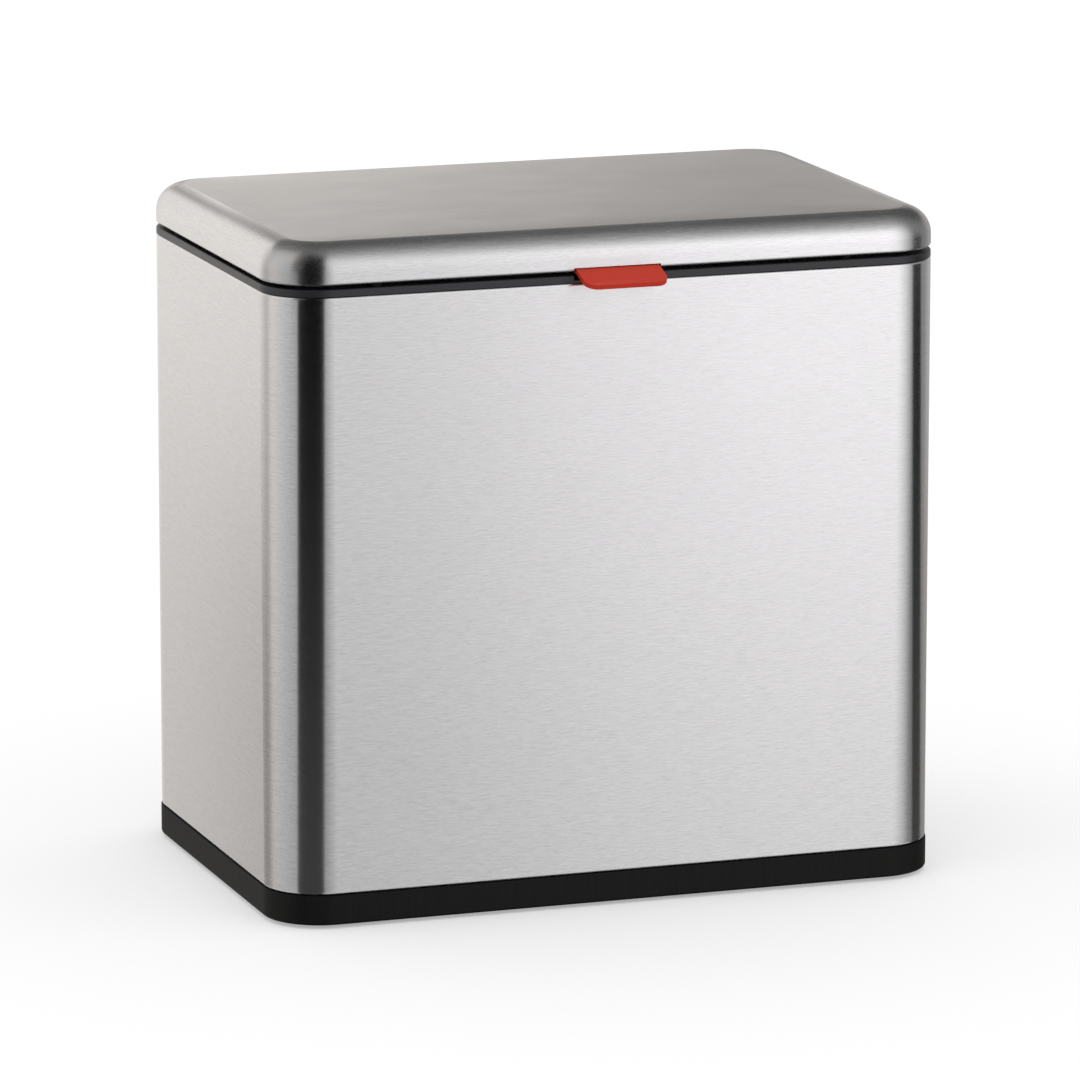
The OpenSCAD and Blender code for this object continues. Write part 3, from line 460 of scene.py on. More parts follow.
wrap_section = (
    [(-LOWER_FLANGE, wrap_z0)]
    + arc(-BEND, wrap_z0 + BEND, BEND, -90, 0, 8)
    + arc(-BEND, wrap_z1 - BEND, BEND, 0, 90, 8)
    + [(-UPPER_FLANGE, wrap_z1), (-UPPER_FLANGE, wrap_z1 - SHEET)]
    + arc(-BEND, wrap_z1 - BEND, BEND - SHEET, 90, 0, 6)
    + arc(-BEND, wrap_z0 + BEND, BEND - SHEET, 0, -90, 6)
    + [(-LOWER_FLANGE, wrap_z0 + SHEET)])
print("wrap section:", len(wrap_section), "points, height", round(wrap_z1 - wrap_z0, 1), "mm")


# %% The sweep as a Geometry Nodes tree
def sweep_tree():
    """Carries a section round a rectangle with round corners."""
    tree, given = start_tree("section_round_the_outline", {
        "Width": "Float", "Depth": "Float", "Corner Radius": "Float", "Corner Steps": "Int",
        "Section": "Object", "Finish": "Material"})
    box = add(tree, "GeometryNodeCurvePrimitiveQuadrilateral",
              {"Width": given["Width"], "Height": given["Depth"]})
    rounded = add(tree, "GeometryNodeFilletCurve",
                  {"Curve": box, "Count": given["Corner Steps"],
                   "Radius": given["Corner Radius"]}, mode="POLY")
    section = add(tree, "GeometryNodeObjectInfo", {"Object": given["Section"]})
    swept = add(tree, "GeometryNodeCurveToMesh",
                {"Curve": rounded, "Profile Curve": section.outputs["Geometry"]})
    return end_tree(tree, swept, given["Finish"])


def section_curve(name, points):
    """A closed curve through a section's points, with its height downward, as a sweep reads it."""
    curve = bpy.data.curves.new(name, "CURVE")
    curve.dimensions = "3D"
    spline = curve.splines.new("POLY")
    spline.points.add(len(points) - 1)
    for point, (out, up) in zip(spline.points, points):
        point.co = (out * MM, -up * MM, 0, 1)
    spline.use_cyclic_u = True
    return placed(name, curve)


def swept_piece(name, section, material):
    """A piece made by carrying a closed section round the bin's outline."""
    drawn = section_curve(name + "_section", section)
    live = placed(name + "_live", bpy.data.meshes.new(name))
    run_tree(live, SWEEP, {"Width": 2 * half_w * MM, "Depth": 2 * half_d * MM,
                           "Corner Radius": CORNER * MM, "Corner Steps": CORNER_STEPS,
                           "Section": drawn, "Finish": material})
    piece = plain_piece(live, name, [drawn])
    outward(piece.data)
    return smooth(piece)


SWEEP = sweep_tree()
steel_wrap = swept_piece("steel_wrap", wrap_section, wrap_steel)
seat(steel_wrap, "bin_body", "body_steel", "body_shell")

# %% [markdown]
# ## The lid's skin
# The lid is pressed from one sheet: a hem under its edge, an upright band, a wide round edge and
# a top that is crowned by half a millimetre, so that it doesn't drum or show dents. A sweep
# can't close the top, so rings are lofted instead: the section's rings follow the outline, and
# the top's rings shrink towards the middle. Two slots for the hinge arms and the notch for the
# tab are then cut through the hem, as a second press would.

# %% Rings of the lid
LID_LO, LID_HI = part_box("lid_shell")
lid_z0, lid_z1 = LID_LO.z / MM, LID_HI.z / MM
LID_EDGE = 12.4
HEM = 3.2
CROWN = 0.5
RING_STEPS, EDGE_STEPS = 32, 26
# The rings of the top, as shares of its edge
TOP_RINGS = (0.985, 0.965, 0.94, 0.91, 0.87, 0.82, 0.76, 0.68, 0.58, 0.46, 0.32, 0.16, 0.04)


def outline_ring(inset, z, shrink=1.0):
    """Points round the bin's outline, that far inside it, in mm."""
    ring = []
    for quarter, (sx, sy) in enumerate(((1, 1), (-1, 1), (-1, -1), (1, -1))):
        for k in range(RING_STEPS + 1):
            turn = math.radians(90 * (quarter + k / RING_STEPS))
            reach = CORNER - inset
            ring.append((shrink * (sx * (half_w - CORNER) + reach * math.cos(turn)),
                         shrink * (sy * (half_d - CORNER) + reach * math.sin(turn)), z))
    return ring


def lid_rings(skin):
    """Rings of the lid's outside (skin 0) or inside (skin = sheet thickness), hem to middle."""
    top = lid_z1 - skin
    bend = arc(-BEND, lid_z0 + BEND, BEND - skin, -90, 0, 8)
    edge = [(-LID_EDGE + (LID_EDGE - skin) * math.cos(math.radians(a)),
             lid_z1 - LID_EDGE + (LID_EDGE - CROWN - skin) * math.sin(math.radians(a)))
            for a in [90 * k / EDGE_STEPS for k in range(EDGE_STEPS + 1)]]
    rings = [outline_ring(-out, up) for out, up in [(-HEM, lid_z0 + skin)] + bend + edge]
    for s in TOP_RINGS:
        # The crown is nearly flat in the middle and falls faster near the edge
        drop = 0.4 * CROWN * s ** 2 + 0.6 * CROWN * s ** 8
        rings.append(outline_ring(LID_EDGE, top - drop, s))
    return rings


def loft(name, outside, inside):
    """A closed skin through rings from the hem to the middle, with both middles capped."""
    shape = bmesh.new()
    rows = [[shape.verts.new([v * MM for v in point]) for point in ring]
            for ring in outside + inside[::-1]]
    for number, low in enumerate(rows, 1):
        high = rows[number % len(rows)]
        if number == len(outside):
            shape.faces.new(low)
            shape.faces.new(high[::-1])
        else:
            band(shape, low, high)
    mesh = mesh_of(name, shape)
    outward(mesh)
    return placed(name, mesh)


lid_blank = loft("lid_blank", lid_rings(0.0), lid_rings(SHEET))
print("lid blank:", len(lid_blank.data.vertices), "points, top at", round(lid_z1, 1), "mm")


# %% Slots and notch cut through the hem
def cutter(name, low, high):
    """A block in mm between two corners, that cuts another piece."""
    shape = bmesh.new()
    bmesh.ops.create_cube(shape, size=1)
    for v in shape.verts:
        v.co = [MM * (lo + (hi - lo) * (c + 0.5)) for lo, hi, c in zip(low, high, v.co)]
    return placed(name, mesh_of(name, shape))


NOTCH_W, NOTCH_H = 38.7, 1.7
# The two slots for the hinge arms: from and to along X, either side, and their top
ARM_X0, ARM_X1, ARM_TOP = 45.55, 69.2, 279.6
# How far a cutter goes past the sheet, and how far below the top the satin finish may reach
PAST, TOP_DEPTH = 1, 2
SIDES = (-1, 1)

cuts = [cutter("tab_notch", (-NOTCH_W / 2, -half_d - PAST, lid_z0 - PAST),
               (NOTCH_W / 2, -half_d + HEM + PAST, lid_z0 + NOTCH_H))]
for side in SIDES:
    xs = sorted((side * ARM_X0, side * ARM_X1))
    cuts.append(cutter("arm_slot", (xs[0], half_d - HEM - PAST, lid_z0 - PAST),
                       (xs[1], half_d + PAST, ARM_TOP)))
for block in cuts:
    cut_away(lid_blank, block)
lid_skin = plain_piece(lid_blank, "lid_skin", cuts)
lid_skin.data.materials.clear()
lid_skin.data.materials.append(rim_steel)
lid_skin.data.materials.append(top_steel)
for face in lid_skin.data.polygons:
    x, y, z = abs(face.center.x) / MM, abs(face.center.y) / MM, face.center.z / MM
    inner = min(half_w - x, half_d - y)
    corner = math.hypot(max(0, x - half_w + CORNER), max(0, y - half_d + CORNER))
    if corner > 0:
        inner = min(inner, CORNER - corner)
    face.material_index = 1 if inner > LID_EDGE and z > lid_z1 - TOP_DEPTH else 0
lid_skin = smooth(lid_skin)
seat(lid_skin, "lid", "lid_steel", "lid_shell")


# %% [markdown]
# ## Moulded and stamped parts from the CAD
# The plinth, collar, liner, bucket, arms, cover, tab and striker have the right shape already,
# but a CAD mesh has knife edges and loose triangles. Real mouldings have small radii, which is
# what catches the light. So each gets a copy: doubles merged, flat faces joined, edges bevelled
# by a fraction of a millimetre, then smooth shading.

# %% Dress a copy of a CAD node
def dress(node, name, body, slot, material, edge_mm):
    """A finished copy of a CAD node, with its edges eased by so many mm."""
    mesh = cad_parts[node].data.copy()
    for attribute in ("custom_normal", "sharp_face", "sharp_edge"):
        if attribute in mesh.attributes:
            mesh.attributes.remove(mesh.attributes[attribute])
    shape = bmesh.new()
    shape.from_mesh(mesh)
    bmesh.ops.remove_doubles(shape, verts=shape.verts, dist=2e-6)
    bmesh.ops.dissolve_limit(shape, angle_limit=math.radians(0.6), verts=shape.verts,
                             edges=shape.edges)
    shape.to_mesh(mesh)
    shape.free()
    mesh.materials.clear()
    mesh.materials.append(material)
    live = placed(name + "_live", mesh)
    bevel = live.modifiers.new("eased_edges", "BEVEL")
    bevel.width = edge_mm * MM
    bevel.segments = 2
    bevel.limit_method = "ANGLE"
    bevel.angle_limit = math.radians(40)
    return seat(smooth(plain_piece(live, name)), body, slot, node)


dress("plinth", "plinth_moulding", "bin_body", "plinth_plastic", plinth_plastic, 0.25)
dress("collar", "collar_moulding", "bin_body", "collar_plastic", collar_plastic, 0.15)
dress("striker", "striker_plate", "bin_body", "striker_steel", striker_steel, 0.15)
dress("lid_liner", "lid_liner_moulding", "lid", "liner_plastic", liner_plastic, 0.2)
dress("hinge_arms", "hinge_arm_mouldings", "lid", "arm_plastic", arm_plastic, 0.25)
dress("latch_cover", "latch_cover_moulding", "lid", "cover_plastic", liner_plastic, 0.2)
dress("push_tab", "red_push_tab", "press_tab", "tab_plastic", tab_plastic, 0.45)
dress("bucket", "bucket_moulding", "lift_out_bucket", "bucket_plastic", bucket_plastic, 0.3)


# %% [markdown]
# ## Screws
# Sixteen pan-head screws hold the bin together. One is modelled, with a domed head, a cross
# recess and a threaded shank, and Geometry Nodes put a copy at each place. The copies are made
# real at the end, because an export drops instances.

# %% One screw, and a tree that puts it everywhere
# The head from its top to its underside, as shares of its radius and height
HEAD_CURVE = ((0.30, 1.0), (0.62, 0.93), (0.86, 0.70), (0.98, 0.36), (1.0, 0.05), (0.97, 0.0))
PITCH, THREAD_ROOT, SCREW_SIDES = 0.38, 0.78, 28
# The cross recess, as shares of the head's radius and height
RECESS_REACH, RECESS_HALF, RECESS_FLOOR = 0.5, 0.11, 0.45


def turned(name, profile, sides):
    """A closed shape turned on the Z axis from (radius, height) points in mm."""
    shape = bmesh.new()
    rows = [circle(shape, radius * MM, height * MM, sides) for radius, height in profile]
    for low, high in zip(rows, rows[1:]):
        band(shape, low, high)
    shape.faces.new(rows[0])
    shape.faces.new(rows[-1][::-1])
    mesh = mesh_of(name, shape)
    outward(mesh)
    return placed(name, mesh)


def pan_screw(name, d, length, head_d, head_h):
    """A screw with its tip up and the underside of its head at z = 0."""
    r, hr = d / 2, head_d / 2
    profile = [(hr * out, -head_h * up) for out, up in HEAD_CURVE] + [(r, 0.0)]
    pitch = d * PITCH
    for k in range(int((length - 0.9 * d) / pitch)):
        profile += [(r, (k + 0.55) * pitch), (r * THREAD_ROOT, (k + 0.8) * pitch),
                    (r, (k + 1) * pitch)]
    profile += [(r * 0.9, length - 0.7 * d), (r * 0.25, length)]
    screw = turned(name, profile, SCREW_SIDES)
    for turn in (0, 90):
        recess = cutter(name + "_recess",
                        (-hr * RECESS_REACH, -hr * RECESS_HALF, -head_h - PAST),
                        (hr * RECESS_REACH, hr * RECESS_HALF, -head_h * RECESS_FLOOR))
        recess.data.transform(Matrix.Rotation(math.radians(turn), 4, "Z"))
        cut_away(screw, recess)
        screw = plain_piece(screw, name, [recess])
    return screw


def place_tree():
    """Puts a fastener at each point of a mesh."""
    tree, given = start_tree("one_at_each_place", {
        "Geometry": "Geometry", "Fastener": "Object", "Turn": "Vector", "Size": "Float",
        "Finish": "Material"})
    one = add(tree, "GeometryNodeObjectInfo", {"Object": given["Fastener"]})
    copies = add(tree, "GeometryNodeInstanceOnPoints",
                 {"Points": given["Geometry"], "Instance": one.outputs["Geometry"],
                  "Rotation": given["Turn"], "Scale": given["Size"]})
    return end_tree(tree, copies, given["Finish"])


PLACES = place_tree()


def screw_set(node, name, body, slot, places, turn, sizes):
    """All the screws of one CAD node, at places in mm, turned from pointing up."""
    screw = pan_screw(name + "_one", *sizes)
    points = bpy.data.meshes.new(name)
    points.from_pydata([[v * MM for v in p] for p in places], [], [])
    live = placed(name + "_live", points)
    run_tree(live, PLACES, {"Fastener": screw, "Turn": turn, "Size": 1.0, "Finish": screw_zinc})
    piece = smooth(plain_piece(live, name, [screw]), 35)
    return seat(piece, body, slot, node)


# %% Where the screws go
# Each size is the shank's diameter, its length, and the head's diameter and height, in mm
PLINTH_SCREW, ARM_SCREW = (2.9, 7.5, 5.6, 2.0), (2.9, 7.0, 5.6, 2.0)
COVER_SCREW, STRIKER_SCREW = (2.2, 6.0, 4.0, 1.1), (2.2, 5.0, 4.0, 1.1)
# How far from the middle, and how high, in mm
PLINTH_ROW_X, PLINTH_ROW_Y, PLINTH_END_X, PLINTH_Z = 90, 91, 141, 12
ARM_SCREW_X, ARM_SCREW_YS, ARM_SCREW_Z = 57.375, (70, 82), 277.5
COVER_HEAD_R, COVER_Z = 2.0, 276.0
STRIKER_X, STRIKER_Y = 13.0, -89.5

plinth_places = [(x, s * PLINTH_ROW_Y, PLINTH_Z)
                 for x in (-PLINTH_ROW_X, 0, PLINTH_ROW_X) for s in SIDES]
plinth_places += [(s * PLINTH_END_X, 0, PLINTH_Z) for s in SIDES]
screw_set("plinth_screws", "plinth_screw_set", "bin_body", "plinth_screw_steel", plinth_places,
          (0, 0, 0), PLINTH_SCREW)
screw_set("arm_screws", "arm_screw_set", "lid", "arm_screw_steel",
          [(s * ARM_SCREW_X, y, ARM_SCREW_Z) for s in SIDES for y in ARM_SCREW_YS],
          (0, 0, 0.3), ARM_SCREW)
cover_y = sum(v.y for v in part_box("cover_screws")) / 2 / MM
cover_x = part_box("cover_screws")[1].x / MM - COVER_HEAD_R
screw_set("cover_screws", "cover_screw_set", "lid", "cover_screw_steel",
          [(s * cover_x, cover_y, COVER_Z) for s in SIDES], (0, 0, 0.5), COVER_SCREW)
striker_z = sum(v.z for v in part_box("striker_screws")) / 2 / MM
screw_set("striker_screws", "striker_screw_set", "bin_body", "striker_screw_steel",
          [(s * STRIKER_X, STRIKER_Y, striker_z) for s in SIDES], (math.pi / 2, 0, 0),
          STRIKER_SCREW)


# %% [markdown]
# ## Springs
# Each hinge has a torsion spring wound on its pin, with one leg under the lid's arm and one on
# the housing, and a small compression spring pushes the tab back. A spring is a round wire along
# a path, so the path's points are worked out from the winding's sizes and Geometry Nodes sweep
# the wire along them. In the bin the latch spring is squashed as the tab goes down; here it is
# made once, at the CAD's height.

# %% Wire along a path
def wire_tree():
    """Carries a round section along a path."""
    tree, given = start_tree("wire_along_a_path", {
        "Geometry": "Geometry", "Wire Diameter": "Float", "Sides": "Int", "Finish": "Material"})
    radius = add(tree, "ShaderNodeMath", (given["Wire Diameter"], 0.5), operation="MULTIPLY")
    ring = add(tree, "GeometryNodeCurvePrimitiveCircle",
               {"Resolution": given["Sides"], "Radius": radius})
    swept = add(tree, "GeometryNodeCurveToMesh",
                {"Curve": given["Geometry"], "Profile Curve": ring, "Fill Caps": True})
    return end_tree(tree, swept, given["Finish"])


WIRE = wire_tree()


def wire_piece(name, paths, wire_mm):
    """One piece of wire for each path of points in mm."""
    curve = bpy.data.curves.new(name, "CURVE")
    curve.dimensions = "3D"
    for path in paths:
        spline = curve.splines.new("POLY")
        spline.points.add(len(path) - 1)
        for point, place in zip(spline.points, path):
            point.co = [v * MM for v in place] + [1]
    live = placed(name + "_live", curve)
    run_tree(live, WIRE, {"Wire Diameter": wire_mm * MM, "Sides": 12, "Finish": spring_wire})
    piece = plain_piece(live, name)
    outward(piece.data)
    return smooth(piece, 50)


# %% The hinge springs, in mm
TURN_STEPS = 24


def winding(radius, turns):
    """How far along each point of a winding is, in turns, and its sine and cosine in mm."""
    return [(k / TURN_STEPS, radius * math.sin(2 * math.pi * k / TURN_STEPS),
             radius * math.cos(2 * math.pi * k / TURN_STEPS))
            for k in range(int(TURN_STEPS * turns) + 1)]


HINGE_Y, HINGE_Z = 105.0, 273.0
COIL_R, COIL_TURNS, COIL_PITCH, COIL_X = 3.2, 5.5, 1.75, 46.95
INNER_LEG, OUTER_LEG, HINGE_WIRE = 8, 4, 1.2

coil = [(COIL_X + COIL_PITCH * along, HINGE_Y + out, HINGE_Z + up)
        for along, out, up in winding(COIL_R, COIL_TURNS)]
(x0, y0, z0), (x1, y1, z1) = coil[0], coil[-1]
right_spring = [(x0, y0 - INNER_LEG, z0)] + coil + [(x1, y1 - OUTER_LEG, z1)]
left_spring = [(-x, y, z) for x, y, z in right_spring]
seat(wire_piece("hinge_spring_pair", [right_spring, left_spring], HINGE_WIRE),
     "bin_body", "hinge_spring_steel", "hinge_springs")

# %% The latch spring, in mm
LATCH_R, LATCH_TURNS, LATCH_WIRE, LATCH_Y = 2.7, 7, 0.6, -75

latch_lo, latch_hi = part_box("latch_spring")
low_z, high_z = latch_lo.z / MM + LATCH_WIRE / 2, latch_hi.z / MM - LATCH_WIRE / 2
latch_path = [(across, LATCH_Y + out, low_z + (high_z - low_z) * along / LATCH_TURNS)
              for along, out, across in winding(LATCH_R, LATCH_TURNS)]
latch_piece = wire_piece("latch_coil_spring", [latch_path], LATCH_WIRE)
seat(latch_piece, "lid", "latch_spring_steel", "latch_spring")
print("latch spring from z =", round(latch_lo.z / MM, 2), "to", round(latch_hi.z / MM, 2), "mm")
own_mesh(latch_piece)


# %% [markdown]
# ## Pins, clips, feet and buffers
# These have the right shape in the CAD, so they stay as they are and only get their finish.

# %% Finish the CAD nodes that stay
def paint(node, material):
    """Gives a CAD node another finish in each of its slots."""
    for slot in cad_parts[node].material_slots:
        slot.material = material
    print(node, "is finished in", material.name)


paint("hinge_pins", pin_bar)
paint("latch_pin", pin_bar)
paint("pin_clips", clip_steel)
paint("feet", foot_rubber)
paint("lid_buffers", foot_rubber)

# %% [markdown]
# ## The studio
# Steel shows its surroundings, so the studio is part of its look. The photograph's reflections
# tell how it was lit: one large soft light in front on the right, a dimmer wall across the front
# and the left, a pale wall behind on the left, and a dim room on the right. A drum of light round
# the bin carries these, as plain walls with a level at each end. Only reflections see it. Plain
# pale light from all round lights everything else, so each colour renders about as written.

# %% A drum that carries the studio's walls and soft light
DRUM_R, DRUM_FOOT, DRUM_TOP, DRUM_SIDES = 1.2, -1.3, 1.0, 96
WARM, COOL, PLAIN = (1.035, 1.0, 0.965), (1.0, 0.993, 1.01), (1.0, 1.0, 1.0)

# Degrees round the bin from its front, to the right: start, end, level at each, and tint
STUDIO_WALLS = (
    (-180, -141, 0.83, 0.76, WARM),    # pale wall behind on the left
    (-131, -121, 0.62, 0.54, WARM),    # its shaded end
    (-112, -102, 0.71, 0.71, WARM),    # a second pale wall on the left
    (-90, -56, 0.65, 0.46, PLAIN),     # dimmer towards the front
    (-52, -9, 0.44, 0.42, COOL),       # the front, either side of the camera
    (0, 14, 0.58, 0.83, COOL),
    (16, 24, 0.95, 1.15, COOL),        # the large soft light
    (37, 50, 1.10, 0.80, COOL),
    (56, 62, 0.62, 0.42, PLAIN),       # its dim end
    (67, 98, 0.27, 0.26, PLAIN),       # dim room on the right
    (115, 148, 0.40, 0.44, WARM),      # back wall
    (155, 166, 0.44, 0.66, WARM),
    (179, 180, 0.85, 0.85, WARM))
BRIGHTEST, DRUM_STRENGTH = 1.25, 1.18
# What the walls keep of their light, as they fall off downwards between two heights in metres
FALL_LO, FALL_HI = -0.45, 0.15
WALL_FALL = [(0.0, 0.47), (0.32, 0.585), (0.43, 0.64), (0.57, 0.715), (0.70, 0.90),
             (0.83, 0.985), (1.0, 1.0)]
SLOW_FALL = [(0.0, 0.72), (0.45, 0.765), (0.62, 0.76), (0.80, 0.91), (1.0, 0.97)]


def emptied_material(name):
    """A new material without nodes, and its tree."""
    material = bpy.data.materials.new(name)
    material.use_nodes = True
    material.node_tree.nodes.clear()
    return material, material.node_tree


def drum_material():
    """The walls' light, by the way round and the height."""
    material, tree = emptied_material("studio_walls_and_soft_light")
    place = add(tree, "ShaderNodeTexCoord").outputs["Object"]
    axis = add(tree, "ShaderNodeSeparateXYZ", (place,)).outputs
    frontward = add(tree, "ShaderNodeMath", (axis[1], -1.0), operation="MULTIPLY")
    turn = add(tree, "ShaderNodeMath", (axis[0], frontward), operation="ARCTAN2")
    walls = add(tree, "ShaderNodeValToRGB",
                (add(tree, "ShaderNodeMapRange", (turn, -math.pi, math.pi, 0.0, 1.0)),),
                stops=[((degrees + 180) / 360, [level / BRIGHTEST * t for t in tint])
                       for start, end, low, high, tint in STUDIO_WALLS
                       for degrees, level in ((start, low), (end, high))])
    # Every wall is lit from above, so it falls off downwards, less so behind on the left
    height = add(tree, "ShaderNodeMapRange", (axis[2], FALL_LO, FALL_HI, 0.0, 1.0))
    behind_left = add(tree, "ShaderNodeMapRange",
                      (turn, math.radians(-152), math.radians(-140), 1.0, 0.0))
    fall = add(tree, "ShaderNodeMix", {
        0: behind_left, 6: add(tree, "ShaderNodeValToRGB", (height,), stops=WALL_FALL),
        7: add(tree, "ShaderNodeValToRGB", (height,), stops=SLOW_FALL)}, data_type="RGBA")
    # The pale wall behind on the left ends in a shaded stretch, darker low down
    past = add(tree, "ShaderNodeMapRange",
               (turn, math.radians(-155.6), math.radians(-154.9), 0.0, 1.0),
               interpolation_type="SMOOTHSTEP")
    short = add(tree, "ShaderNodeMapRange",
                (turn, math.radians(-132), math.radians(-118), 1.0, 0.0))
    stretch = add(tree, "ShaderNodeMath", (past, short), operation="MULTIPLY")
    depth = add(tree, "ShaderNodeMapRange", (axis[2], 0.03, -0.12, 0.0, 0.52))
    dimmed = add(tree, "ShaderNodeMath", (stretch, depth), operation="MULTIPLY")
    # Behind and above, the room is dark, except on the left
    high = add(tree, "ShaderNodeMapRange", (axis[2], 0.50, 0.80, 0.0, 0.85),
               interpolation_type="SMOOTHSTEP")
    back = add(tree, "ShaderNodeMapRange", (axis[1], -0.2, 0.6, 0.0, 1.0),
               interpolation_type="SMOOTHSTEP")
    right = add(tree, "ShaderNodeMapRange", (axis[0], -0.30, -0.08, 0.0, 1.0),
                interpolation_type="SMOOTHSTEP")
    behind = add(tree, "ShaderNodeMath", (back, right), operation="MULTIPLY")
    dark = add(tree, "ShaderNodeMath", (high, behind), operation="MULTIPLY")
    kept = add(tree, "ShaderNodeMath", operation="MULTIPLY", inputs=(
        add(tree, "ShaderNodeMath", (1.0, dimmed), operation="SUBTRACT"),
        add(tree, "ShaderNodeMath", (1.0, dark), operation="SUBTRACT")))
    lit = add(tree, "ShaderNodeVectorMath", (walls, fall), operation="MULTIPLY")
    lit = add(tree, "ShaderNodeVectorMath", {0: lit, "Scale": kept}, operation="SCALE")
    # Below the walls lies the pale floor, dark only close under the bin: painted shade for the
    # bin's shadow
    below = add(tree, "ShaderNodeMapRange", (axis[2], -0.36, -0.52, 0.0, 1.0),
                interpolation_type="SMOOTHSTEP")
    floor_with_painted_shadow = add(tree, "ShaderNodeMapRange", (axis[2], -1.28, -1.05, 0.06, 0.50))
    lit = add(tree, "ShaderNodeMix", {0: below, 6: lit, 7: floor_with_painted_shadow}, data_type="RGBA")
    light = add(tree, "ShaderNodeEmission", {"Color": lit,
                                             "Strength": DRUM_STRENGTH * BRIGHTEST})
    add(tree, "ShaderNodeOutputMaterial", {"Surface": light})
    return material


def only_reflected(prop):
    """Leaves a studio piece visible to reflections alone, and found by them alone."""
    prop.active_material.cycles.emission_sampling = "NONE"
    prop.visible_camera = False
    prop.visible_diffuse = False
    prop.visible_transmission = False
    prop.visible_shadow = False


drum_shape = bmesh.new()
band(drum_shape, circle(drum_shape, DRUM_R, DRUM_TOP, DRUM_SIDES),
     circle(drum_shape, DRUM_R, DRUM_FOOT, DRUM_SIDES))
drum = placed("studio_drum", mesh_of("studio_drum", drum_shape))
drum.data.materials.append(drum_material())
only_reflected(drum)
print("studio drum of", DRUM_R, "m radius,", len(STUDIO_WALLS), "walls")

# %% [markdown]
# Photographers give pale metal an outline by standing black card beside a corner. The dark bands
# on the bin's two front corners are such cards. They stand close, so each is narrow and only its
# own corner sees it from the photograph's side. Each leans, which keeps its band upright. The
# left one is in two leaves, and its upper leaf flares out, to follow the round edge of the lid.

# %% Black cards by the two front corners
card_material, tree = emptied_material("black_card")
place = add(tree, "ShaderNodeTexCoord").outputs["Object"]
axis = add(tree, "ShaderNodeSeparateXYZ", (place,)).outputs
# The pale floor lights the foot of a card a little, and the left card's flared top catches some
# light along its edge
height = add(tree, "ShaderNodeMapRange", (axis[2], -0.25, 0.25, 0.0, 1.0))
foot = add(tree, "ShaderNodeValToRGB", (height,), stops=[
    (0.0, 0.078), (0.5, 0.052), (0.68, 0.033), (0.86, 0.013), (1.0, 0.004)])
edge = add(tree, "ShaderNodeMath", operation="MULTIPLY", inputs=(
    add(tree, "ShaderNodeMapRange", (axis[0], -0.285, -0.215, 0.28, 0.0)),
    add(tree, "ShaderNodeMapRange", (axis[2], 0.25, 0.31, 0.0, 1.0))))
glow = add(tree, "ShaderNodeMath", (foot, edge), operation="ADD")
light = add(tree, "ShaderNodeEmission", {"Color": glow, "Strength": 1.0})
add(tree, "ShaderNodeOutputMaterial", {"Surface": light})


def flat_sheet(name, corners, material):
    """A flat piece between four corners in metres."""
    mesh = bpy.data.meshes.new(name)
    mesh.from_pydata(corners, [], [(0, 1, 2, 3)])
    mesh.materials.append(material)
    return placed(name, mesh)


def black_card(name, *corners):
    """A leaning card that only reflections see, from its lower left corner to its upper left."""
    only_reflected(flat_sheet(name, corners, card_material))
    print(name, "stands from z =", corners[0][2], "to", corners[-1][2], "m")


black_card("black_card_left", (-0.285, -0.147, -0.25), (-0.171, -0.246, -0.25),
           (-0.133, -0.250, 0.27), (-0.260, -0.185, 0.27))
black_card("black_card_left_top", (-0.279, -0.155, 0.27), (-0.133, -0.250, 0.27),
           (-0.109, -0.252, 0.60), (-0.282, -0.130, 0.60))
black_card("black_card_right", (0.455, -0.094, -0.25), (0.418, 0.093, -0.25),
           (0.440, -0.110, 0.27), (0.402, -0.233, 0.27))

# %% [markdown]
# The floor is a plain pale sheet. It glows a little to the camera, so that it reaches white where
# nothing shades it, and still shows the soft shadow under the bin. Reflections don't see it,
# because the drum shows them a pale floor below its walls already, with painted shade close
# under the bin.

# %% The floor
FLOOR_REACH, FLOOR_GREY, FLOOR_GLOW = 8, 0.66, 0.37

floor_material, tree = emptied_material("pale_paper_floor")
paper = add(tree, "ShaderNodeBsdfDiffuse", {"Color": (FLOOR_GREY, FLOOR_GREY, FLOOR_GREY, 1)})
seen = add(tree, "ShaderNodeLightPath").outputs["Is Camera Ray"]
glow = add(tree, "ShaderNodeMath", (seen, FLOOR_GLOW), operation="MULTIPLY")
lift = add(tree, "ShaderNodeEmission", {"Strength": glow})
both = add(tree, "ShaderNodeAddShader", (paper, lift))
add(tree, "ShaderNodeOutputMaterial", {"Surface": both})

floor = flat_sheet("floor", [(x * FLOOR_REACH, y * FLOOR_REACH, 0)
                             for x, y in ((-1, -1), (1, -1), (1, 1), (-1, 1))], floor_material)
floor.visible_glossy = False
print("floor at z = 0")
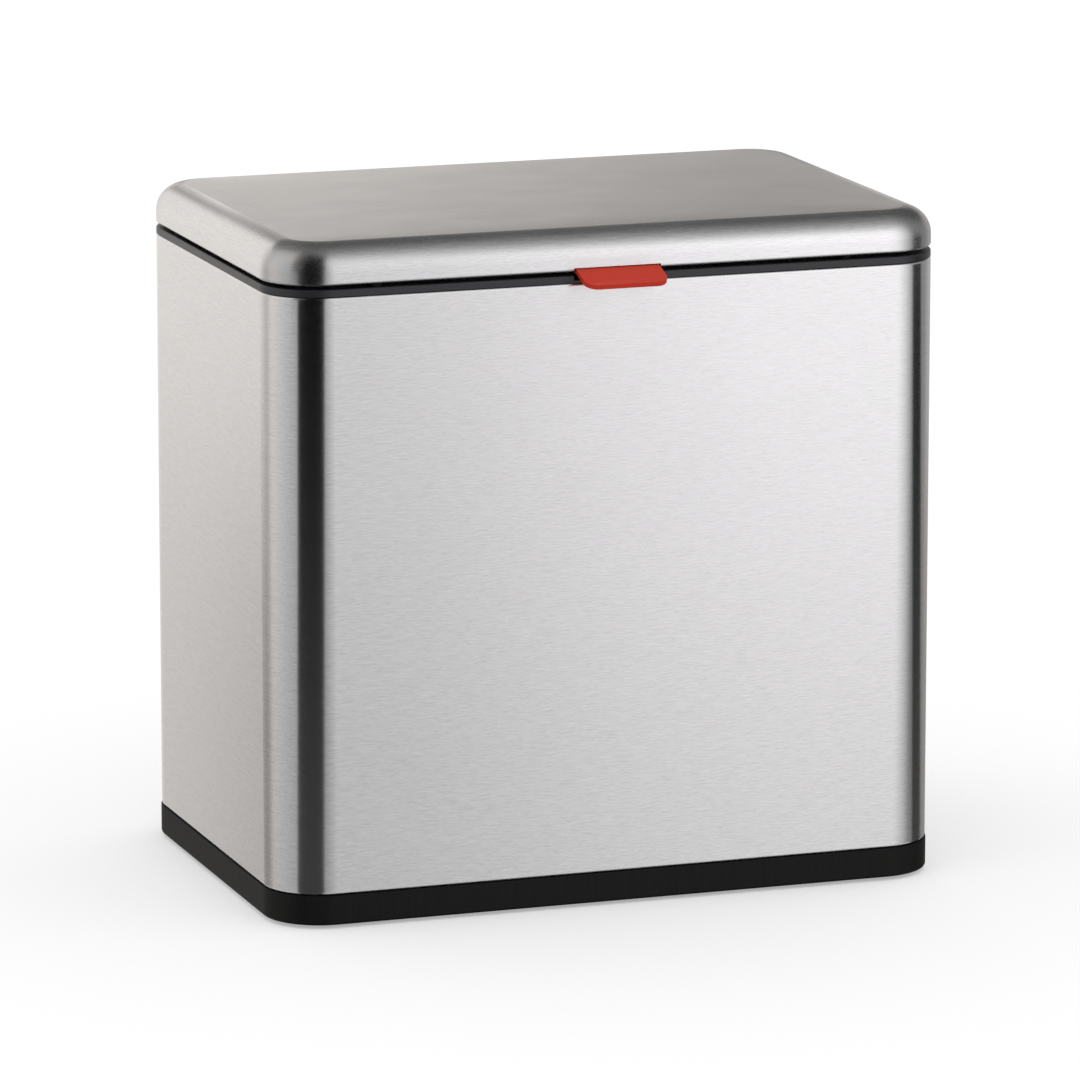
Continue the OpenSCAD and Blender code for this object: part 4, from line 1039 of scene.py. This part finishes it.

# %% [markdown]
# The world is three things at once, told apart by Light Path: white for the camera, the dark
# ceiling over the drum for reflections, with painted shade below the drum for the floor in the
# bin's shadow, and an even pale light for everything that isn't metal.

# %% The world
# The ceiling's level by the angle over the top, from level in front to level behind
CEILING = ((0, 1.0), (34, 0.98), (44, 0.84), (52, 0.66), (60, 0.52), (70, 0.40), (80, 0.29),
           (90, 0.23), (100, 0.18), (112, 0.12), (128, 0.10), (145, 0.15), (158, 0.27),
           (170, 0.45), (180, 0.60))
LEFT_CEILING = (0.80, 0.78, 0.76, 1)

bpy.context.scene.view_settings.view_transform = "Standard"
world = bpy.data.worlds.new("pale_studio")
bpy.context.scene.world = world
world.use_nodes = True
tree = world.node_tree
tree.nodes.clear()
way = add(tree, "ShaderNodeTexCoord").outputs["Generated"]
axis = add(tree, "ShaderNodeSeparateXYZ", (way,)).outputs
frontward = add(tree, "ShaderNodeMath", (axis[1], -1.0), operation="MULTIPLY")
over = add(tree, "ShaderNodeMath", (axis[2], frontward), operation="ARCTAN2")
over = add(tree, "ShaderNodeMapRange", (over, 0.0, math.pi, 0.0, 1.0))
ceiling = add(tree, "ShaderNodeValToRGB", (over,),
              stops=[(degrees / 180, level) for degrees, level in CEILING])
left = add(tree, "ShaderNodeMapRange", (axis[0], -0.52, -0.33, 1.0, 0.0),
           interpolation_type="SMOOTHSTEP")
ceiling = add(tree, "ShaderNodeMix", {0: left, 6: ceiling, 7: LEFT_CEILING}, data_type="RGBA")
# Straight down, below the drum, reflections see painted shade for the floor in the bin's shadow
painted_shade_below = add(tree, "ShaderNodeMapRange", (axis[2], -0.55, -0.75, 1.0, 0.08))
reflected = add(tree, "ShaderNodeBackground", {"Color": ceiling, "Strength": painted_shade_below})
height = add(tree, "ShaderNodeMapRange", (axis[2], -1.0, 1.0, 0.0, 1.0))
soft = add(tree, "ShaderNodeValToRGB", (height,),
           stops=[(0.0, 0.80), (0.5, 0.92), (0.75, 1.0), (1.0, 1.04)])
even = add(tree, "ShaderNodeBackground", {"Color": soft, "Strength": 1.0})
white = add(tree, "ShaderNodeBackground", {"Color": (1, 1, 1, 1), "Strength": 1.0})
path = add(tree, "ShaderNodeLightPath").outputs
glossy = add(tree, "ShaderNodeMixShader", (path["Is Glossy Ray"], even, reflected))
shown = add(tree, "ShaderNodeMixShader", (path["Is Camera Ray"], glossy, white))
add(tree, "ShaderNodeOutputWorld", {"Surface": shown})
# Each ray finds the part of the world that is meant for it, and none is guessed past the drum
world.cycles.sampling_method = "NONE"
print("world:", world.name)
